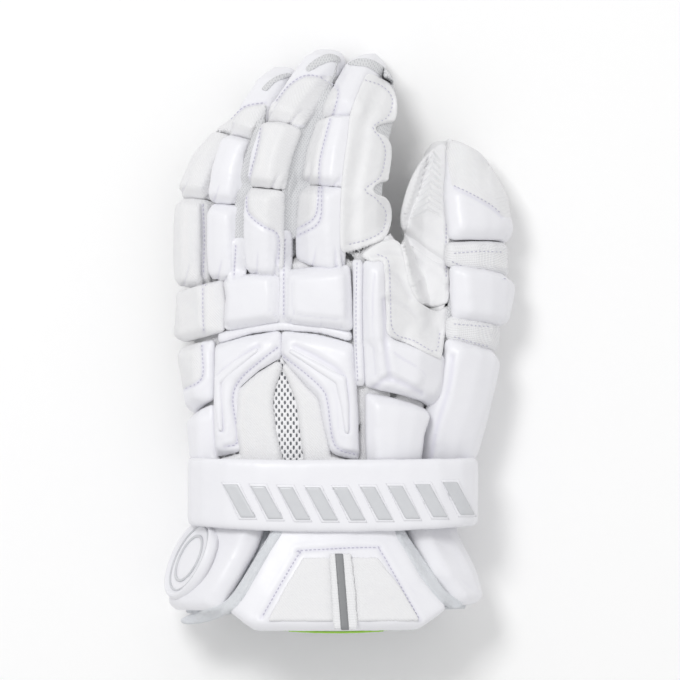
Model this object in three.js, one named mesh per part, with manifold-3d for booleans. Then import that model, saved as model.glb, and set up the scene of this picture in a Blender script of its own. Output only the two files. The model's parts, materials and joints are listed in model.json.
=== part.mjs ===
// A left-hand lacrosse glove lying palm down, with the back of the hand up.
// Millimetres, +Z up, +Y to the fingertips, +X to the thumb side.
// The origin is the middle of the glove's footprint, on the surface it lies on.

import * as THREE from 'three';
import { mergeVertices } from 'three/addons/utils/BufferGeometryUtils.js';
import Module from 'manifold-3d';

const wasm = await Module();
wasm.setup();

// Driving sizes of the whole glove
const gloveLength = 314;
const gloveWidth = 187;
const gloveHeight = 92;

// Skins
const skinWall = 2;
const seamGap = 1;
const pressGap = 0.45;
const skinGap = 0.7;

// Pads and trims, as thicknesses over what carries them
const fingerPad = 9.5;
const knucklePad = 9;
const panelPad = 6;
const sidePad = 8;
const thumbPad = 8;
const insetCloth = 2.5;
const flexBand = 2;
const bindingTape = 5;
const webSuede = 2.5;
const wrapSuede = 2;
const ridgeHeight = 2;
const thumbWebbing = 4;
const cuffPad = 9;
const cuffLining = 2.6;
const insetSheet = 1.4;
const cuffWebbing = 1.6;
const badgeHeight = 1.6;
const strapPad = 4.5;
const strapTrim = 1;

// Slopes of the pads' edges, and the share of a pad's thickness that its rim keeps
const padBevel = 4;
const trimBevel = 1;
const bandBevel = 1.5;
const rimShare = 0.45;

// How far a cut face may be flattened
const cutTolerance = 0.3;
const skinTolerance = 0.6;

// Sections along each tube. Across and halfWidth are shares of the glove's width, along is a
// share of its length, rise and halfDepth are shares of its height. Roll is in degrees, and
// turns the back of the section towards the little finger.
const handSections = [
  { across: 0.428, along: 0.234, rise: 0.440, halfWidth: 0.315, halfDepth: 0.320, roll: 0 },
  { across: 0.428, along: 0.294, rise: 0.445, halfWidth: 0.315, halfDepth: 0.320, roll: 2 },
  { across: 0.422, along: 0.397, rise: 0.480, halfWidth: 0.324, halfDepth: 0.285, roll: 6 },
  { across: 0.412, along: 0.500, rise: 0.510, halfWidth: 0.345, halfDepth: 0.245, roll: 12 },
  { across: 0.387, along: 0.569, rise: 0.530, halfWidth: 0.346, halfDepth: 0.215, roll: 16 },
  { across: 0.354, along: 0.628, rise: 0.535, halfWidth: 0.317, halfDepth: 0.192, roll: 18 },
];

const indexSections = [
  { across: 0.508, along: 0.595, rise: 0.600, halfWidth: 0.103, halfDepth: 0.163, roll: 30 },
  { across: 0.509, along: 0.672, rise: 0.660, halfWidth: 0.103, halfDepth: 0.163, roll: 34 },
  { across: 0.519, along: 0.758, rise: 0.690, halfWidth: 0.097, halfDepth: 0.163, roll: 35 },
  { across: 0.538, along: 0.826, rise: 0.650, halfWidth: 0.087, halfDepth: 0.163, roll: 35 },
  { across: 0.563, along: 0.878, rise: 0.540, halfWidth: 0.076, halfDepth: 0.158, roll: 34 },
  { across: 0.584, along: 0.907, rise: 0.350, halfWidth: 0.073, halfDepth: 0.152, roll: 33 },
  { across: 0.594, along: 0.919, rise: 0.150, halfWidth: 0.066, halfDepth: 0.140, roll: 32 },
];

const middleSections = [
  { across: 0.318, along: 0.595, rise: 0.550, halfWidth: 0.060, halfDepth: 0.160, roll: 24 },
  { across: 0.320, along: 0.672, rise: 0.610, halfWidth: 0.060, halfDepth: 0.160, roll: 28 },
  { across: 0.327, along: 0.758, rise: 0.640, halfWidth: 0.060, halfDepth: 0.160, roll: 29 },
  { across: 0.351, along: 0.826, rise: 0.605, halfWidth: 0.061, halfDepth: 0.160, roll: 29 },
  { across: 0.392, along: 0.881, rise: 0.510, halfWidth: 0.062, halfDepth: 0.155, roll: 28 },
  { across: 0.425, along: 0.914, rise: 0.340, halfWidth: 0.061, halfDepth: 0.150, roll: 26 },
  { across: 0.444, along: 0.928, rise: 0.150, halfWidth: 0.056, halfDepth: 0.138, roll: 24 },
];

const ringSections = [
  { across: 0.204, along: 0.590, rise: 0.440, halfWidth: 0.051, halfDepth: 0.145, roll: 26 },
  { across: 0.205, along: 0.672, rise: 0.480, halfWidth: 0.052, halfDepth: 0.145, roll: 28 },
  { across: 0.210, along: 0.750, rise: 0.495, halfWidth: 0.053, halfDepth: 0.145, roll: 30 },
  { across: 0.234, along: 0.810, rise: 0.470, halfWidth: 0.054, halfDepth: 0.145, roll: 30 },
  { across: 0.274, along: 0.857, rise: 0.400, halfWidth: 0.054, halfDepth: 0.140, roll: 29 },
  { across: 0.301, along: 0.887, rise: 0.275, halfWidth: 0.053, halfDepth: 0.135, roll: 27 },
  { across: 0.317, along: 0.901, rise: 0.140, halfWidth: 0.049, halfDepth: 0.123, roll: 25 },
];

const littleSections = [
  { across: 0.115, along: 0.590, rise: 0.285, halfWidth: 0.051, halfDepth: 0.134, roll: 36 },
  { across: 0.115, along: 0.668, rise: 0.298, halfWidth: 0.052, halfDepth: 0.134, roll: 38 },
  { across: 0.121, along: 0.730, rise: 0.285, halfWidth: 0.052, halfDepth: 0.134, roll: 38 },
  { across: 0.140, along: 0.772, rise: 0.252, halfWidth: 0.050, halfDepth: 0.130, roll: 37 },
  { across: 0.166, along: 0.800, rise: 0.210, halfWidth: 0.047, halfDepth: 0.122, roll: 36 },
  { across: 0.188, along: 0.818, rise: 0.160, halfWidth: 0.043, halfDepth: 0.112, roll: 34 },
  { across: 0.202, along: 0.828, rise: 0.115, halfWidth: 0.038, halfDepth: 0.098, roll: 32 },
];

const thumbSections = [
  { across: 0.735, along: 0.255, rise: 0.360, halfWidth: 0.066, halfDepth: 0.150, roll: -20 },
  { across: 0.765, along: 0.363, rise: 0.365, halfWidth: 0.090, halfDepth: 0.192, roll: -35 },
  { across: 0.788, along: 0.457, rise: 0.360, halfWidth: 0.106, halfDepth: 0.215, roll: -42 },
  { across: 0.803, along: 0.534, rise: 0.340, halfWidth: 0.119, halfDepth: 0.235, roll: -45 },
  { across: 0.812, along: 0.602, rise: 0.320, halfWidth: 0.130, halfDepth: 0.255, roll: -45 },
  { across: 0.812, along: 0.655, rise: 0.310, halfWidth: 0.133, halfDepth: 0.260, roll: -45 },
  { across: 0.803, along: 0.723, rise: 0.285, halfWidth: 0.127, halfDepth: 0.250, roll: -45 },
  { across: 0.796, along: 0.778, rise: 0.260, halfWidth: 0.109, halfDepth: 0.216, roll: -45 },
  { across: 0.806, along: 0.820, rise: 0.230, halfWidth: 0.062, halfDepth: 0.130, roll: -45 },
];

const strapSections = [
  { across: 0.473, along: 0.182, rise: 0.468, halfWidth: 0.392, halfDepth: 0.415, roll: 0 },
  { across: 0.473, along: 0.297, rise: 0.468, halfWidth: 0.392, halfDepth: 0.415, roll: 0 },
];

const cuffSections = [
  { across: 0.454, along: 0.000, rise: 0.420, halfWidth: 0.392, halfDepth: 0.405, roll: 0 },
  { across: 0.454, along: 0.033, rise: 0.420, halfWidth: 0.388, halfDepth: 0.390, roll: 0 },
  { across: 0.454, along: 0.088, rise: 0.420, halfWidth: 0.370, halfDepth: 0.360, roll: 0 },
  { across: 0.454, along: 0.130, rise: 0.420, halfWidth: 0.335, halfDepth: 0.330, roll: 0 },
  { across: 0.454, along: 0.172, rise: 0.420, halfWidth: 0.300, halfDepth: 0.300, roll: 0 },
  { across: 0.454, along: 0.220, rise: 0.420, halfWidth: 0.292, halfDepth: 0.295, roll: 0 },
];

// Outlines of the pads, one row for each rib across the pad: the left and right end of the rib,
// as shares of the glove's width and length seen from above. Shares below 0 or above the edge
// of the tube wrap down its side.
const padRibs = {
  knuckle_pad_outer: [[0.000, 0.600, 0.173, 0.604], [0.000, 0.540, 0.170, 0.560],
    [0.000, 0.505, 0.165, 0.519]],
  knuckle_pad_middle: [[0.183, 0.606, 0.330, 0.618], [0.180, 0.575, 0.330, 0.580],
    [0.174, 0.521, 0.326, 0.536]],
  knuckle_pad_index: [[0.348, 0.619, 0.520, 0.628], [0.345, 0.580, 0.525, 0.580],
    [0.342, 0.534, 0.528, 0.519]],
  flex_band: [[0.150, 0.511, 0.152, 0.497], [0.250, 0.527, 0.250, 0.515], [0.330, 0.532, 0.330, 0.520],
    [0.440, 0.527, 0.440, 0.515], [0.526, 0.513, 0.526, 0.500]],
  outer_pad_upper: [[-0.005, 0.492, 0.136, 0.500], [0.000, 0.430, 0.136, 0.440],
    [0.020, 0.362, 0.136, 0.400]],
  outer_pad_lower: [[0.020, 0.350, 0.138, 0.388], [0.025, 0.315, 0.145, 0.315],
    [0.030, 0.285, 0.150, 0.285]],
  back_pad_left: [[0.324, 0.514, 0.324, 0.472], [0.236, 0.505, 0.262, 0.452],
    [0.147, 0.491, 0.204, 0.421], [0.146, 0.397, 0.198, 0.393], [0.150, 0.301, 0.210, 0.311]],
  back_pad_right: [[0.332, 0.472, 0.332, 0.514], [0.380, 0.440, 0.424, 0.508],
    [0.441, 0.400, 0.530, 0.492], [0.458, 0.345, 0.538, 0.397], [0.473, 0.308, 0.544, 0.297]],
  back_inset_left: [[0.320, 0.460, 0.321, 0.454], [0.266, 0.440, 0.299, 0.420],
    [0.212, 0.412, 0.292, 0.393], [0.206, 0.354, 0.300, 0.345], [0.219, 0.301, 0.318, 0.301],
    [0.157, 0.290, 0.320, 0.290], [0.159, 0.264, 0.325, 0.264]],
  back_inset_right: [[0.336, 0.455, 0.337, 0.460], [0.358, 0.422, 0.383, 0.428],
    [0.376, 0.393, 0.432, 0.397], [0.386, 0.345, 0.450, 0.342], [0.395, 0.301, 0.463, 0.297],
    [0.398, 0.286, 0.544, 0.286], [0.400, 0.264, 0.548, 0.264]],
  mesh_vent: [[0.324, 0.452, 0.332, 0.452], [0.304, 0.420, 0.353, 0.422], [0.297, 0.393, 0.371, 0.393],
    [0.305, 0.345, 0.381, 0.345], [0.323, 0.301, 0.390, 0.301], [0.328, 0.264, 0.395, 0.264]],
  binding_strip: [[0.533, 0.636, 0.556, 0.636], [0.536, 0.530, 0.559, 0.530], [0.540, 0.424, 0.562, 0.424]],
  radial_pad_upper: [[0.564, 0.634, 0.617, 0.634], [0.566, 0.569, 0.622, 0.569],
    [0.568, 0.505, 0.632, 0.505], [0.569, 0.486, 0.765, 0.463], [0.570, 0.450, 0.755, 0.425],
    [0.571, 0.423, 0.741, 0.386]],
  radial_pad_lower: [[0.570, 0.408, 0.729, 0.376], [0.571, 0.345, 0.715, 0.342],
    [0.572, 0.284, 0.705, 0.284]],
  web_patch: [[0.628, 0.630, 0.665, 0.643], [0.631, 0.595, 0.705, 0.598], [0.636, 0.548, 0.755, 0.558],
    [0.642, 0.515, 0.785, 0.541], [0.680, 0.498, 0.788, 0.500], [0.762, 0.476, 0.787, 0.473]],
};

// Raised ridges along the panels by the vent, rib by rib as above
const ridgeRibs = {
  back_ridge_left: [[0.265, 0.489, 0.270, 0.484], [0.204, 0.466, 0.215, 0.455],
    [0.157, 0.438, 0.170, 0.428], [0.160, 0.388, 0.173, 0.388], [0.170, 0.347, 0.175, 0.347]],
  back_ridge_right: [[0.357, 0.482, 0.362, 0.487], [0.427, 0.453, 0.432, 0.465],
    [0.487, 0.428, 0.512, 0.438], [0.499, 0.388, 0.519, 0.388], [0.511, 0.343, 0.517, 0.343]],
};

const thumbRibs = {
  thumb_pad_mid: [[0.815, 0.624, 1.090, 0.590], [0.818, 0.580, 1.090, 0.560], [0.820, 0.541, 1.080, 0.533]],
  thumb_pad_base: [[0.806, 0.497, 1.050, 0.472], [0.784, 0.462, 1.030, 0.430],
    [0.772, 0.420, 1.010, 0.390], [0.735, 0.345, 0.970, 0.330], [0.728, 0.284, 0.930, 0.284]],
};

const webbingRibs = {
  thumb_strap_upper: [[0.808, 0.659, 1.090, 0.654], [0.808, 0.633, 1.090, 0.601]],
  thumb_strap_lower: [[0.812, 0.533, 1.080, 0.527], [0.812, 0.505, 1.070, 0.482]],
};

// Finger pads, laid between two angles round the finger. The shares are places along the finger:
// where the base pad starts, where it gives way to the middle pad and that one to the tip pad.
const fingerPads = {
  index: { start: 0.095, knuckle: 0.390, joint: 0.625, end: 1.45, thumbSide: 62, littleSide: 150 },
  middle: { start: 0.075, knuckle: 0.385, joint: 0.605, end: 1.45, thumbSide: 48, littleSide: 150 },
  ring: { start: 0.060, knuckle: 0.385, joint: 0.640, end: 1.45, thumbSide: 42, littleSide: 150 },
  little: { start: 0.022, knuckle: 0.540, joint: 0.915, end: 1.45, thumbSide: 30, littleSide: 150 },
};
const knuckleCrease = 1.6;

// Angles of the seams round each tube, where a skin of one cloth meets the next
const seams = {
  palm: { hand: [186, 354], finger: [212, 328], thumb: [250, 360] },
  back: { hand: [-6, 186], finger: [-32, 212], thumb: [0, 136] },
  inner: { thumb: [136, 250] },
};

// Where the hollow inside each tube starts and ends, as shares that run on over its round end
const hollowSpans = {
  hand: { start: -0.05, end: 1.3 }, finger: { start: 0.02, end: 1.97 }, thumb: { start: 0.03, end: 1.97 },
};

// Sides of a whole turn round each tube
const sides = { hand: 16, finger: 10, thumb: 12, strap: 30 };

// Rings along each tube's skin, and over its round end
const rings = { body: 5, tip: 2 };

const capRows = [
  { along: 0.735, from: 133, to: 2 }, { along: 0.86, from: 134, to: 0 },
  { along: 1.0, from: 136, to: 0 }, { along: 1.5, from: 136, to: 0 },
];

const wrapRows = [
  { along: 0.24, from: 52, to: -24 }, { along: 0.29, from: 52, to: -32 }, { along: 0.38, from: 52, to: -38 },
  { along: 0.43, from: 52, to: 4 }, { along: 0.48, from: 52, to: -36 }, { along: 0.60, from: 52, to: -40 },
  { along: 0.68, from: 52, to: -34 }, { along: 0.72, from: 52, to: 6 }, { along: 0.77, from: 52, to: -30 },
  { along: 0.86, from: 52, to: -30 }, { along: 0.96, from: 48, to: 4 },
];

// Cuff flaps, linings and trims on the cuff's tube
const cuffRibs = {
  cuff_flap_left: [[0.060, 0.220, 0.303, 0.220], [-0.010, 0.150, 0.268, 0.148],
    [-0.080, 0.088, 0.214, 0.088], [-0.080, 0.036, 0.166, 0.036]],
  cuff_flap_centre: [[0.322, 0.220, 0.641, 0.220], [0.300, 0.165, 0.655, 0.165],
    [0.244, 0.092, 0.712, 0.092], [0.190, 0.036, 0.774, 0.040], [0.262, 0.003, 0.700, 0.004]],
  cuff_flap_right: [[0.662, 0.220, 0.860, 0.220], [0.680, 0.165, 0.900, 0.165],
    [0.738, 0.100, 0.980, 0.100], [0.801, 0.046, 0.985, 0.046]],
};
const liningRibs = {
  cuff_lining_left: [[0.060, 0.220, 0.316, 0.220], [-0.005, 0.150, 0.289, 0.158],
    [-0.070, 0.086, 0.244, 0.086], [-0.070, 0.028, 0.184, 0.028]],
  cuff_lining_centre: [[0.321, 0.220, 0.642, 0.220], [0.297, 0.165, 0.660, 0.165],
    [0.252, 0.086, 0.712, 0.092], [0.196, 0.026, 0.774, 0.030], [0.264, 0.000, 0.700, 0.001]],
  cuff_lining_right: [[0.648, 0.220, 0.860, 0.220], [0.666, 0.165, 0.900, 0.165],
    [0.718, 0.092, 0.970, 0.092], [0.780, 0.036, 0.975, 0.036]],
};
const insetRibs = [[0.392, 0.128, 0.590, 0.128], [0.345, 0.079, 0.648, 0.079], [0.296, 0.018, 0.700, 0.018]];
const loopRibs = [[0.462, 0.134, 0.522, 0.134], [0.474, 0.004, 0.540, 0.004]];
const trimRibs = [[0.170, 0.266, 0.170, 0.212], [0.330, 0.262, 0.330, 0.206], [0.473, 0.260, 0.473, 0.203],
  [0.640, 0.262, 0.640, 0.205], [0.840, 0.270, 0.840, 0.214]];

// The round badge on the left flap: its middle by angle and share of the cuff's length
const badge = { angle: 160, along: 0.54, sides: 14 };
const badgeRadius = 20;

const colours = {
  leather: { color: 0xeeeef3, roughness: 0.45 },
  twill: { color: 0xe9e9ec, roughness: 0.6 },
  suede: { color: 0xe8e8ea, roughness: 0.95 },
  knit: { color: 0xb9babd, roughness: 0.9 },
  webbing: { color: 0xf2f2f4, roughness: 0.7 },
  trim: { color: 0xc9cacd, roughness: 0.5 },
  fleece: { color: 0xbfc7cd, roughness: 1 },
};

const glove = new THREE.Group();
const inner = new THREE.Group();
glove.add(inner);

// A tube through a table of sections. A place on it is an angle, with 0 at the thumb side and
// 90 at the back, a share of its length, and a height over its skin. Shares from 1 to 2 run
// over its round end.
class Tube {
  constructor(sections, { squareness = 2.6, cap = 0 } = {}) {
    this.squareness = squareness;
    this.cap = cap;
    this.rows = sections.map((row) => ({
      centre: new THREE.Vector3(row.across * gloveWidth, row.along * gloveLength, row.rise * gloveHeight),
      halfWidth: row.halfWidth * gloveWidth,
      halfDepth: row.halfDepth * gloveHeight,
      roll: THREE.MathUtils.degToRad(row.roll),
    }));
    this.path = new THREE.CatmullRomCurve3(this.rows.map((row) => row.centre), false, 'centripetal');
    this.lengths = this.path.getLengths(80);
    this.total = this.lengths[this.lengths.length - 1];
  }

  // The table's parameter at a share of the length
  parameter(along) {
    const want = THREE.MathUtils.clamp(along, 0, 1) * this.total;
    let index = 1;
    while (index < this.lengths.length - 1 && this.lengths[index] < want) index += 1;
    const before = this.lengths[index - 1];
    const share = (want - before) / (this.lengths[index] - before);
    return (index - 1 + share) / (this.lengths.length - 1);
  }

  section(along) {
    const at = this.parameter(along);
    const centre = this.path.getPoint(at);
    const tangent = this.path.getTangent(at);
    const place = at * (this.rows.length - 1);
    const low = Math.min(Math.floor(place), this.rows.length - 2);
    const mix = (key) => THREE.MathUtils.lerp(this.rows[low][key], this.rows[low + 1][key], place - low);
    const side = new THREE.Vector3().crossVectors(tangent, new THREE.Vector3(0, 0, 1)).normalize();
    const back = new THREE.Vector3().crossVectors(side, tangent);
    const roll = mix('roll');
    const across = side.clone().multiplyScalar(Math.cos(roll)).addScaledVector(back, Math.sin(roll));
    const up = back.clone().multiplyScalar(Math.cos(roll)).addScaledVector(side, -Math.sin(roll));
    let scale = 1;
    let forward = along < 0 ? along * this.total : 0;
    let lean = 0;
    if (along > 1) {
      const turn = Math.min(along - 1, 1) * Math.PI / 2;
      scale = Math.cos(turn);
      forward = this.cap * Math.sin(turn);
      lean = Math.sin(turn);
    }
    return { centre: centre.addScaledVector(tangent, forward), tangent, across, up, scale, lean,
      halfWidth: mix('halfWidth'), halfDepth: mix('halfDepth') };
  }

  place(angle, along, height = 0, lift = 0) {
    const cut = this.section(along);
    const radians = THREE.MathUtils.degToRad(angle);
    const cos = Math.cos(radians);
    const sin = Math.sin(radians);
    const power = this.squareness;
    const reach = (Math.abs(cos) ** power + Math.abs(sin) ** power) ** (-1 / power);
    const x = cut.halfWidth * cos * reach;
    const y = cut.halfDepth * sin * reach;
    const slope = new THREE.Vector2(Math.sign(x) * Math.abs(x / cut.halfWidth) ** (power - 1) / cut.halfWidth,
      Math.sign(y) * Math.abs(y / cut.halfDepth) ** (power - 1) / cut.halfDepth).normalize();
    const flat = Math.sqrt(Math.max(1 - cut.lean * cut.lean, 0));
    return cut.centre.clone()
      .addScaledVector(cut.across, x * cut.scale + slope.x * height * flat)
      .addScaledVector(cut.up, y * cut.scale + slope.y * height * flat + lift * flat)
      .addScaledVector(cut.tangent, (height + lift) * cut.lean);
  }

  // The angle and share whose skin lies under a point seen from above. Past the edge of the
  // tube the distance runs on down its side.
  locate(across, along) {
    const x = across * gloveWidth;
    const y = along * gloveLength;
    let share = 0.5;
    let angle = 90;
    for (let round = 0; round < 6; round += 1) {
      angle = this.angleAt(x, share);
      share = THREE.MathUtils.clamp(share + (y - this.place(angle, share).y) / this.slopeY(share), 0, 1.3);
    }
    return { angle, along: share };
  }

  slopeY(share) {
    const low = this.section(Math.max(share - 0.05, 0)).centre.y;
    const high = this.section(Math.min(share + 0.05, 1)).centre.y;
    return (high - low) / (Math.min(share + 0.05, 1) - Math.max(share - 0.05, 0));
  }

  angleAt(x, share) {
    const xAt = (angle) => this.place(angle, share).x;
    const edge = (from, to, sign) => {
      let best = from;
      for (let angle = from; angle <= to; angle += 2) if (sign * xAt(angle) > sign * xAt(best)) best = angle;
      return best;
    };
    const right = edge(-50, 60, 1);
    const left = edge(120, 230, -1);
    const round = this.section(share).halfDepth;
    if (x > xAt(right)) return right - THREE.MathUtils.radToDeg((x - xAt(right)) / round);
    if (x < xAt(left)) return left + THREE.MathUtils.radToDeg((xAt(left) - x) / round);
    let low = right;
    let high = left;
    for (let step = 0; step < 24; step += 1) {
      const middle = (low + high) / 2;
      if (xAt(middle) > x) low = middle;
      else high = middle;
    }
    return (low + high) / 2;
  }
}

// A closed solid between an outer and an inner grid of points with the same rows and columns
function solidBetween(outer, innerGrid) {
  const rows = outer.length;
  const columns = outer[0].length;
  const points = [...outer.flat(), ...innerGrid.flat()];
  const index = [];
  const at = (layer, row, column) => layer * rows * columns + row * columns + column;
  const quad = (a, b, c, d) => index.push(a, b, c, a, c, d);
  for (let row = 0; row < rows - 1; row += 1) {
    for (let column = 0; column < columns - 1; column += 1) {
      quad(at(0, row, column), at(0, row, column + 1), at(0, row + 1, column + 1), at(0, row + 1, column));
      quad(at(1, row, column), at(1, row + 1, column), at(1, row + 1, column + 1), at(1, row, column + 1));
    }
  }
  for (let row = 0; row < rows - 1; row += 1) {
    quad(at(0, row, 0), at(0, row + 1, 0), at(1, row + 1, 0), at(1, row, 0));
    const edge = columns - 1;
    quad(at(0, row + 1, edge), at(0, row, edge), at(1, row, edge), at(1, row + 1, edge));
  }
  for (let column = 0; column < columns - 1; column += 1) {
    quad(at(0, 0, column + 1), at(0, 0, column), at(1, 0, column), at(1, 0, column + 1));
    const end = rows - 1;
    quad(at(0, end, column), at(0, end, column + 1), at(1, end, column + 1), at(1, end, column));
  }
  return closed(points, inThrees(index));
}

// The faces of the largest closed surface among some faces, turned outwards
function mainSurface(faces, corner) {
  const owner = faces.map((unused, face) => face);
  const root = (face) => {
    let at = face;
    while (owner[at] !== at) at = owner[at];
    return at;
  };
  const edges = new Map();
  faces.forEach(([a, b, c], face) => [[a, b], [b, c], [c, a]].forEach(([from, to]) => {
    const key = `${Math.min(from, to)},${Math.max(from, to)}`;
    edges.set(key, [...(edges.get(key) ?? []), face]);
  }));
  for (const [first, second, ...more] of edges.values()) {
    if (more.length === 0) owner[root(first)] = root(second);
  }
  const volumes = new Map();
  faces.forEach(([a, b, c], face) => {
    volumes.set(root(face), (volumes.get(root(face)) ?? 0) + corner(a).dot(corner(b).cross(corner(c))));
  });
  const [largest, volume] = [...volumes.entries()]
    .reduce((best, next) => (Math.abs(next[1]) > Math.abs(best[1]) ? next : best));
  return faces.filter((unused, face) => root(face) === largest)
    .map(([a, b, c]) => (volume < 0 ? [a, c, b] : [a, b, c]));
}

const inThrees = (list) => Array.from({ length: list.length / 3 },
  (unused, at) => Array.from(list.slice(at * 3, at * 3 + 3)));

// Joins points that coincide and drops the faces that this flattens
function closed(points, faces) {
  const geometry = new THREE.BufferGeometry();
  const values = points.flatMap((point) => point.toArray());
  geometry.setAttribute('position', new THREE.Float32BufferAttribute(values, 3));
  geometry.setIndex(faces.flat());
  const merged = mergeVertices(geometry, 1e-3);
  const position = merged.getAttribute('position');
  const whole = inThrees(merged.getIndex().array).filter(([a, b, c]) => a !== b && b !== c && a !== c);
  const corner = (which) => new THREE.Vector3().fromBufferAttribute(position, which);
  merged.setIndex(mainSurface(whole, corner).flat());
  return merged;
}

const spread = (from, to, count) => Array.from({ length: count + 1 },
  (unused, step) => from + (to - from) * step / count);

// A wedge of a tube from its middle line out to its skin, or a whole tube where it goes right
// round. Shares past 1 run over its round end.
function wedge(tube, { from, to, start = 0, end = 2, columns, height = 0 }) {
  const alongs = [...spread(start, 1, rings.body), ...spread(1, end, rings.tip).slice(1)];
  const angles = spread(from, to, columns);
  const outer = alongs.map((along) => angles.map((angle) => tube.place(angle, along, height)));
  const middle = alongs.map((along) => angles.map(() => tube.section(along).centre));
  return solidBetween(outer, middle);
}

// The same surface moved out along its normals
function grown(geometry, gap) {
  const copy = geometry.clone();
  copy.computeVertexNormals();
  const position = copy.getAttribute('position');
  const normal = copy.getAttribute('normal');
  for (let vertex = 0; vertex < position.count; vertex += 1) {
    const point = new THREE.Vector3().fromBufferAttribute(position, vertex);
    point.addScaledVector(new THREE.Vector3().fromBufferAttribute(normal, vertex), gap);
    position.setXYZ(vertex, point.x, point.y, point.z);
  }
  return copy;
}

function asManifold(geometry) {
  return new wasm.Manifold(new wasm.Mesh({ numProp: 3,
    vertProperties: new Float32Array(geometry.getAttribute('position').array),
    triVerts: new Uint32Array(geometry.getIndex().array) }));
}

// The main body of a cut solid, as a geometry
function asGeometry(solid, tolerance = cutTolerance) {
  const mesh = solid.simplify(tolerance).getMesh();
  const points = inThrees(mesh.vertProperties).map((values) => new THREE.Vector3().fromArray(values));
  return closed(points, mainSurface(inThrees(mesh.triVerts), (vertex) => points[vertex].clone()));
}

// Adds a piece, pressed back where it would run into a piece that is there already
function addPiece(name, wanted, finish) {
  let geometry = wanted;
  wanted.computeBoundingBox();
  for (const other of inner.children) {
    const near = other.geometry.boundingBox.clone().expandByScalar(seamGap);
    if (!near.intersectsBox(geometry.boundingBox)) continue;
    for (const gap of [pressGap, 2 * pressGap]) {
      const solid = asManifold(geometry);
      if (solid.intersect(asManifold(other.geometry)).volume() < 1e-3) break;
      geometry = asGeometry(solid.subtract(asManifold(grown(other.geometry, gap))));
      geometry.computeBoundingBox();
    }
  }
  const mesh = new THREE.Mesh(geometry, new THREE.MeshStandardMaterial({ ...colours[finish], metalness: 0 }));
  mesh.name = name;
  inner.add(mesh);
}

// A pad on a tube. Its ribs run from the first to the second end, and its top is a plateau
// with sloping edges, as wide as the bevel.
function padOn(tube, ribs, { base = seamGap, thickness, bevel = padBevel, columns = 6, steps = 3,
  upright = false }) {
  const rows = [];
  ribs.forEach((rib, index) => {
    if (index === 0) rows.push(rib);
    else {
      const before = ribs[index - 1];
      const count = Math.max(1, Math.round(steps / (ribs.length - 1)));
      spread(0, 1, count).slice(1).forEach((share) => rows.push(rib.map((end, side) => ({
        angle: THREE.MathUtils.lerp(before[side].angle, end.angle, share),
        along: THREE.MathUtils.lerp(before[side].along, end.along, share),
      }))));
    }
  });
  const at = (rib, share) => ({
    angle: THREE.MathUtils.lerp(rib[0].angle, rib[1].angle, share),
    along: THREE.MathUtils.lerp(rib[0].along, rib[1].along, share),
  });
  const spot = ({ angle, along }, height) => (upright
    ? tube.place(angle, along, base, height) : tube.place(angle, along, base + height));
  const first = rows[0];
  const last = rows[rows.length - 1];
  const blend = (before, after, length) => {
    const apart = spot(at(before, 0.5), 0).distanceTo(spot(at(after, 0.5), 0));
    const share = Math.min(length / apart, 0.45);
    return before.map((end, side) => ({
      angle: THREE.MathUtils.lerp(end.angle, after[side].angle, share),
      along: THREE.MathUtils.lerp(end.along, after[side].along, share),
    }));
  };
  const before = blend(last, rows[rows.length - 2], bevel);
  const full = [first, blend(first, rows[1], bevel), ...rows.slice(1, -1), before, last];
  const outer = [];
  const under = [];
  full.forEach((rib, index) => {
    const width = spot(rib[0], 0).distanceTo(spot(rib[1], 0));
    const rim = Math.min(bevel / Math.max(width, 1e-3), 0.3);
    const shares = [0, rim, ...spread(rim, 1 - rim, columns - 2).slice(1, -1), 1 - rim, 1];
    const end = index === 0 || index === full.length - 1;
    outer.push(shares.map((share) => {
      const low = end || share === 0 || share === 1;
      return spot(at(rib, share), low ? thickness * rimShare : thickness);
    }));
    under.push(shares.map((share) => spot(at(rib, share), 0)));
  });
  return solidBetween(outer, under);
}

const located = (tube, ribs) => ribs.map(([leftX, leftY, rightX, rightY]) => [
  tube.locate(leftX, leftY), tube.locate(rightX, rightY)]);

const hand = new Tube(handSections, { squareness: 2.5, cap: 5 });
const fingers = {
  index: new Tube(indexSections, { squareness: 3, cap: 12 }),
  middle: new Tube(middleSections, { squareness: 3, cap: 12 }),
  ring: new Tube(ringSections, { squareness: 3, cap: 10 }),
  little: new Tube(littleSections, { squareness: 3, cap: 9 }),
};
const thumb = new Tube(thumbSections, { squareness: 2.4, cap: 8 });
const strap = new Tube(strapSections, { squareness: 3.2 });
const cuff = new Tube(cuffSections, { squareness: 2.4 });

// The skins: each tube is split lengthwise into a suede side and a cloth side
const union = (solids) => solids.reduce((sum, solid) => sum.add(solid));
const fingerList = Object.values(fingers);

function hollow(tube, span, columns) {
  return asManifold(wedge(tube, { from: 0, to: 360, ...span, columns, height: -skinWall }));
}

const hollows = union([
  hollow(hand, hollowSpans.hand, sides.hand),
  ...fingerList.map((tube) => hollow(tube, hollowSpans.finger, sides.finger)),
  hollow(thumb, hollowSpans.thumb, sides.thumb),
]);

function skinPart(tube, [from, to], round, height = 0) {
  const slack = THREE.MathUtils.radToDeg(skinGap / 2 / tube.rows[0].halfWidth);
  const columns = Math.max(3, Math.round(round * (to - from) / 360));
  const grow = height > 0 ? -slack : slack;
  return asManifold(wedge(tube, { from: from + grow, to: to - grow, columns, height }));
}

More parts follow.
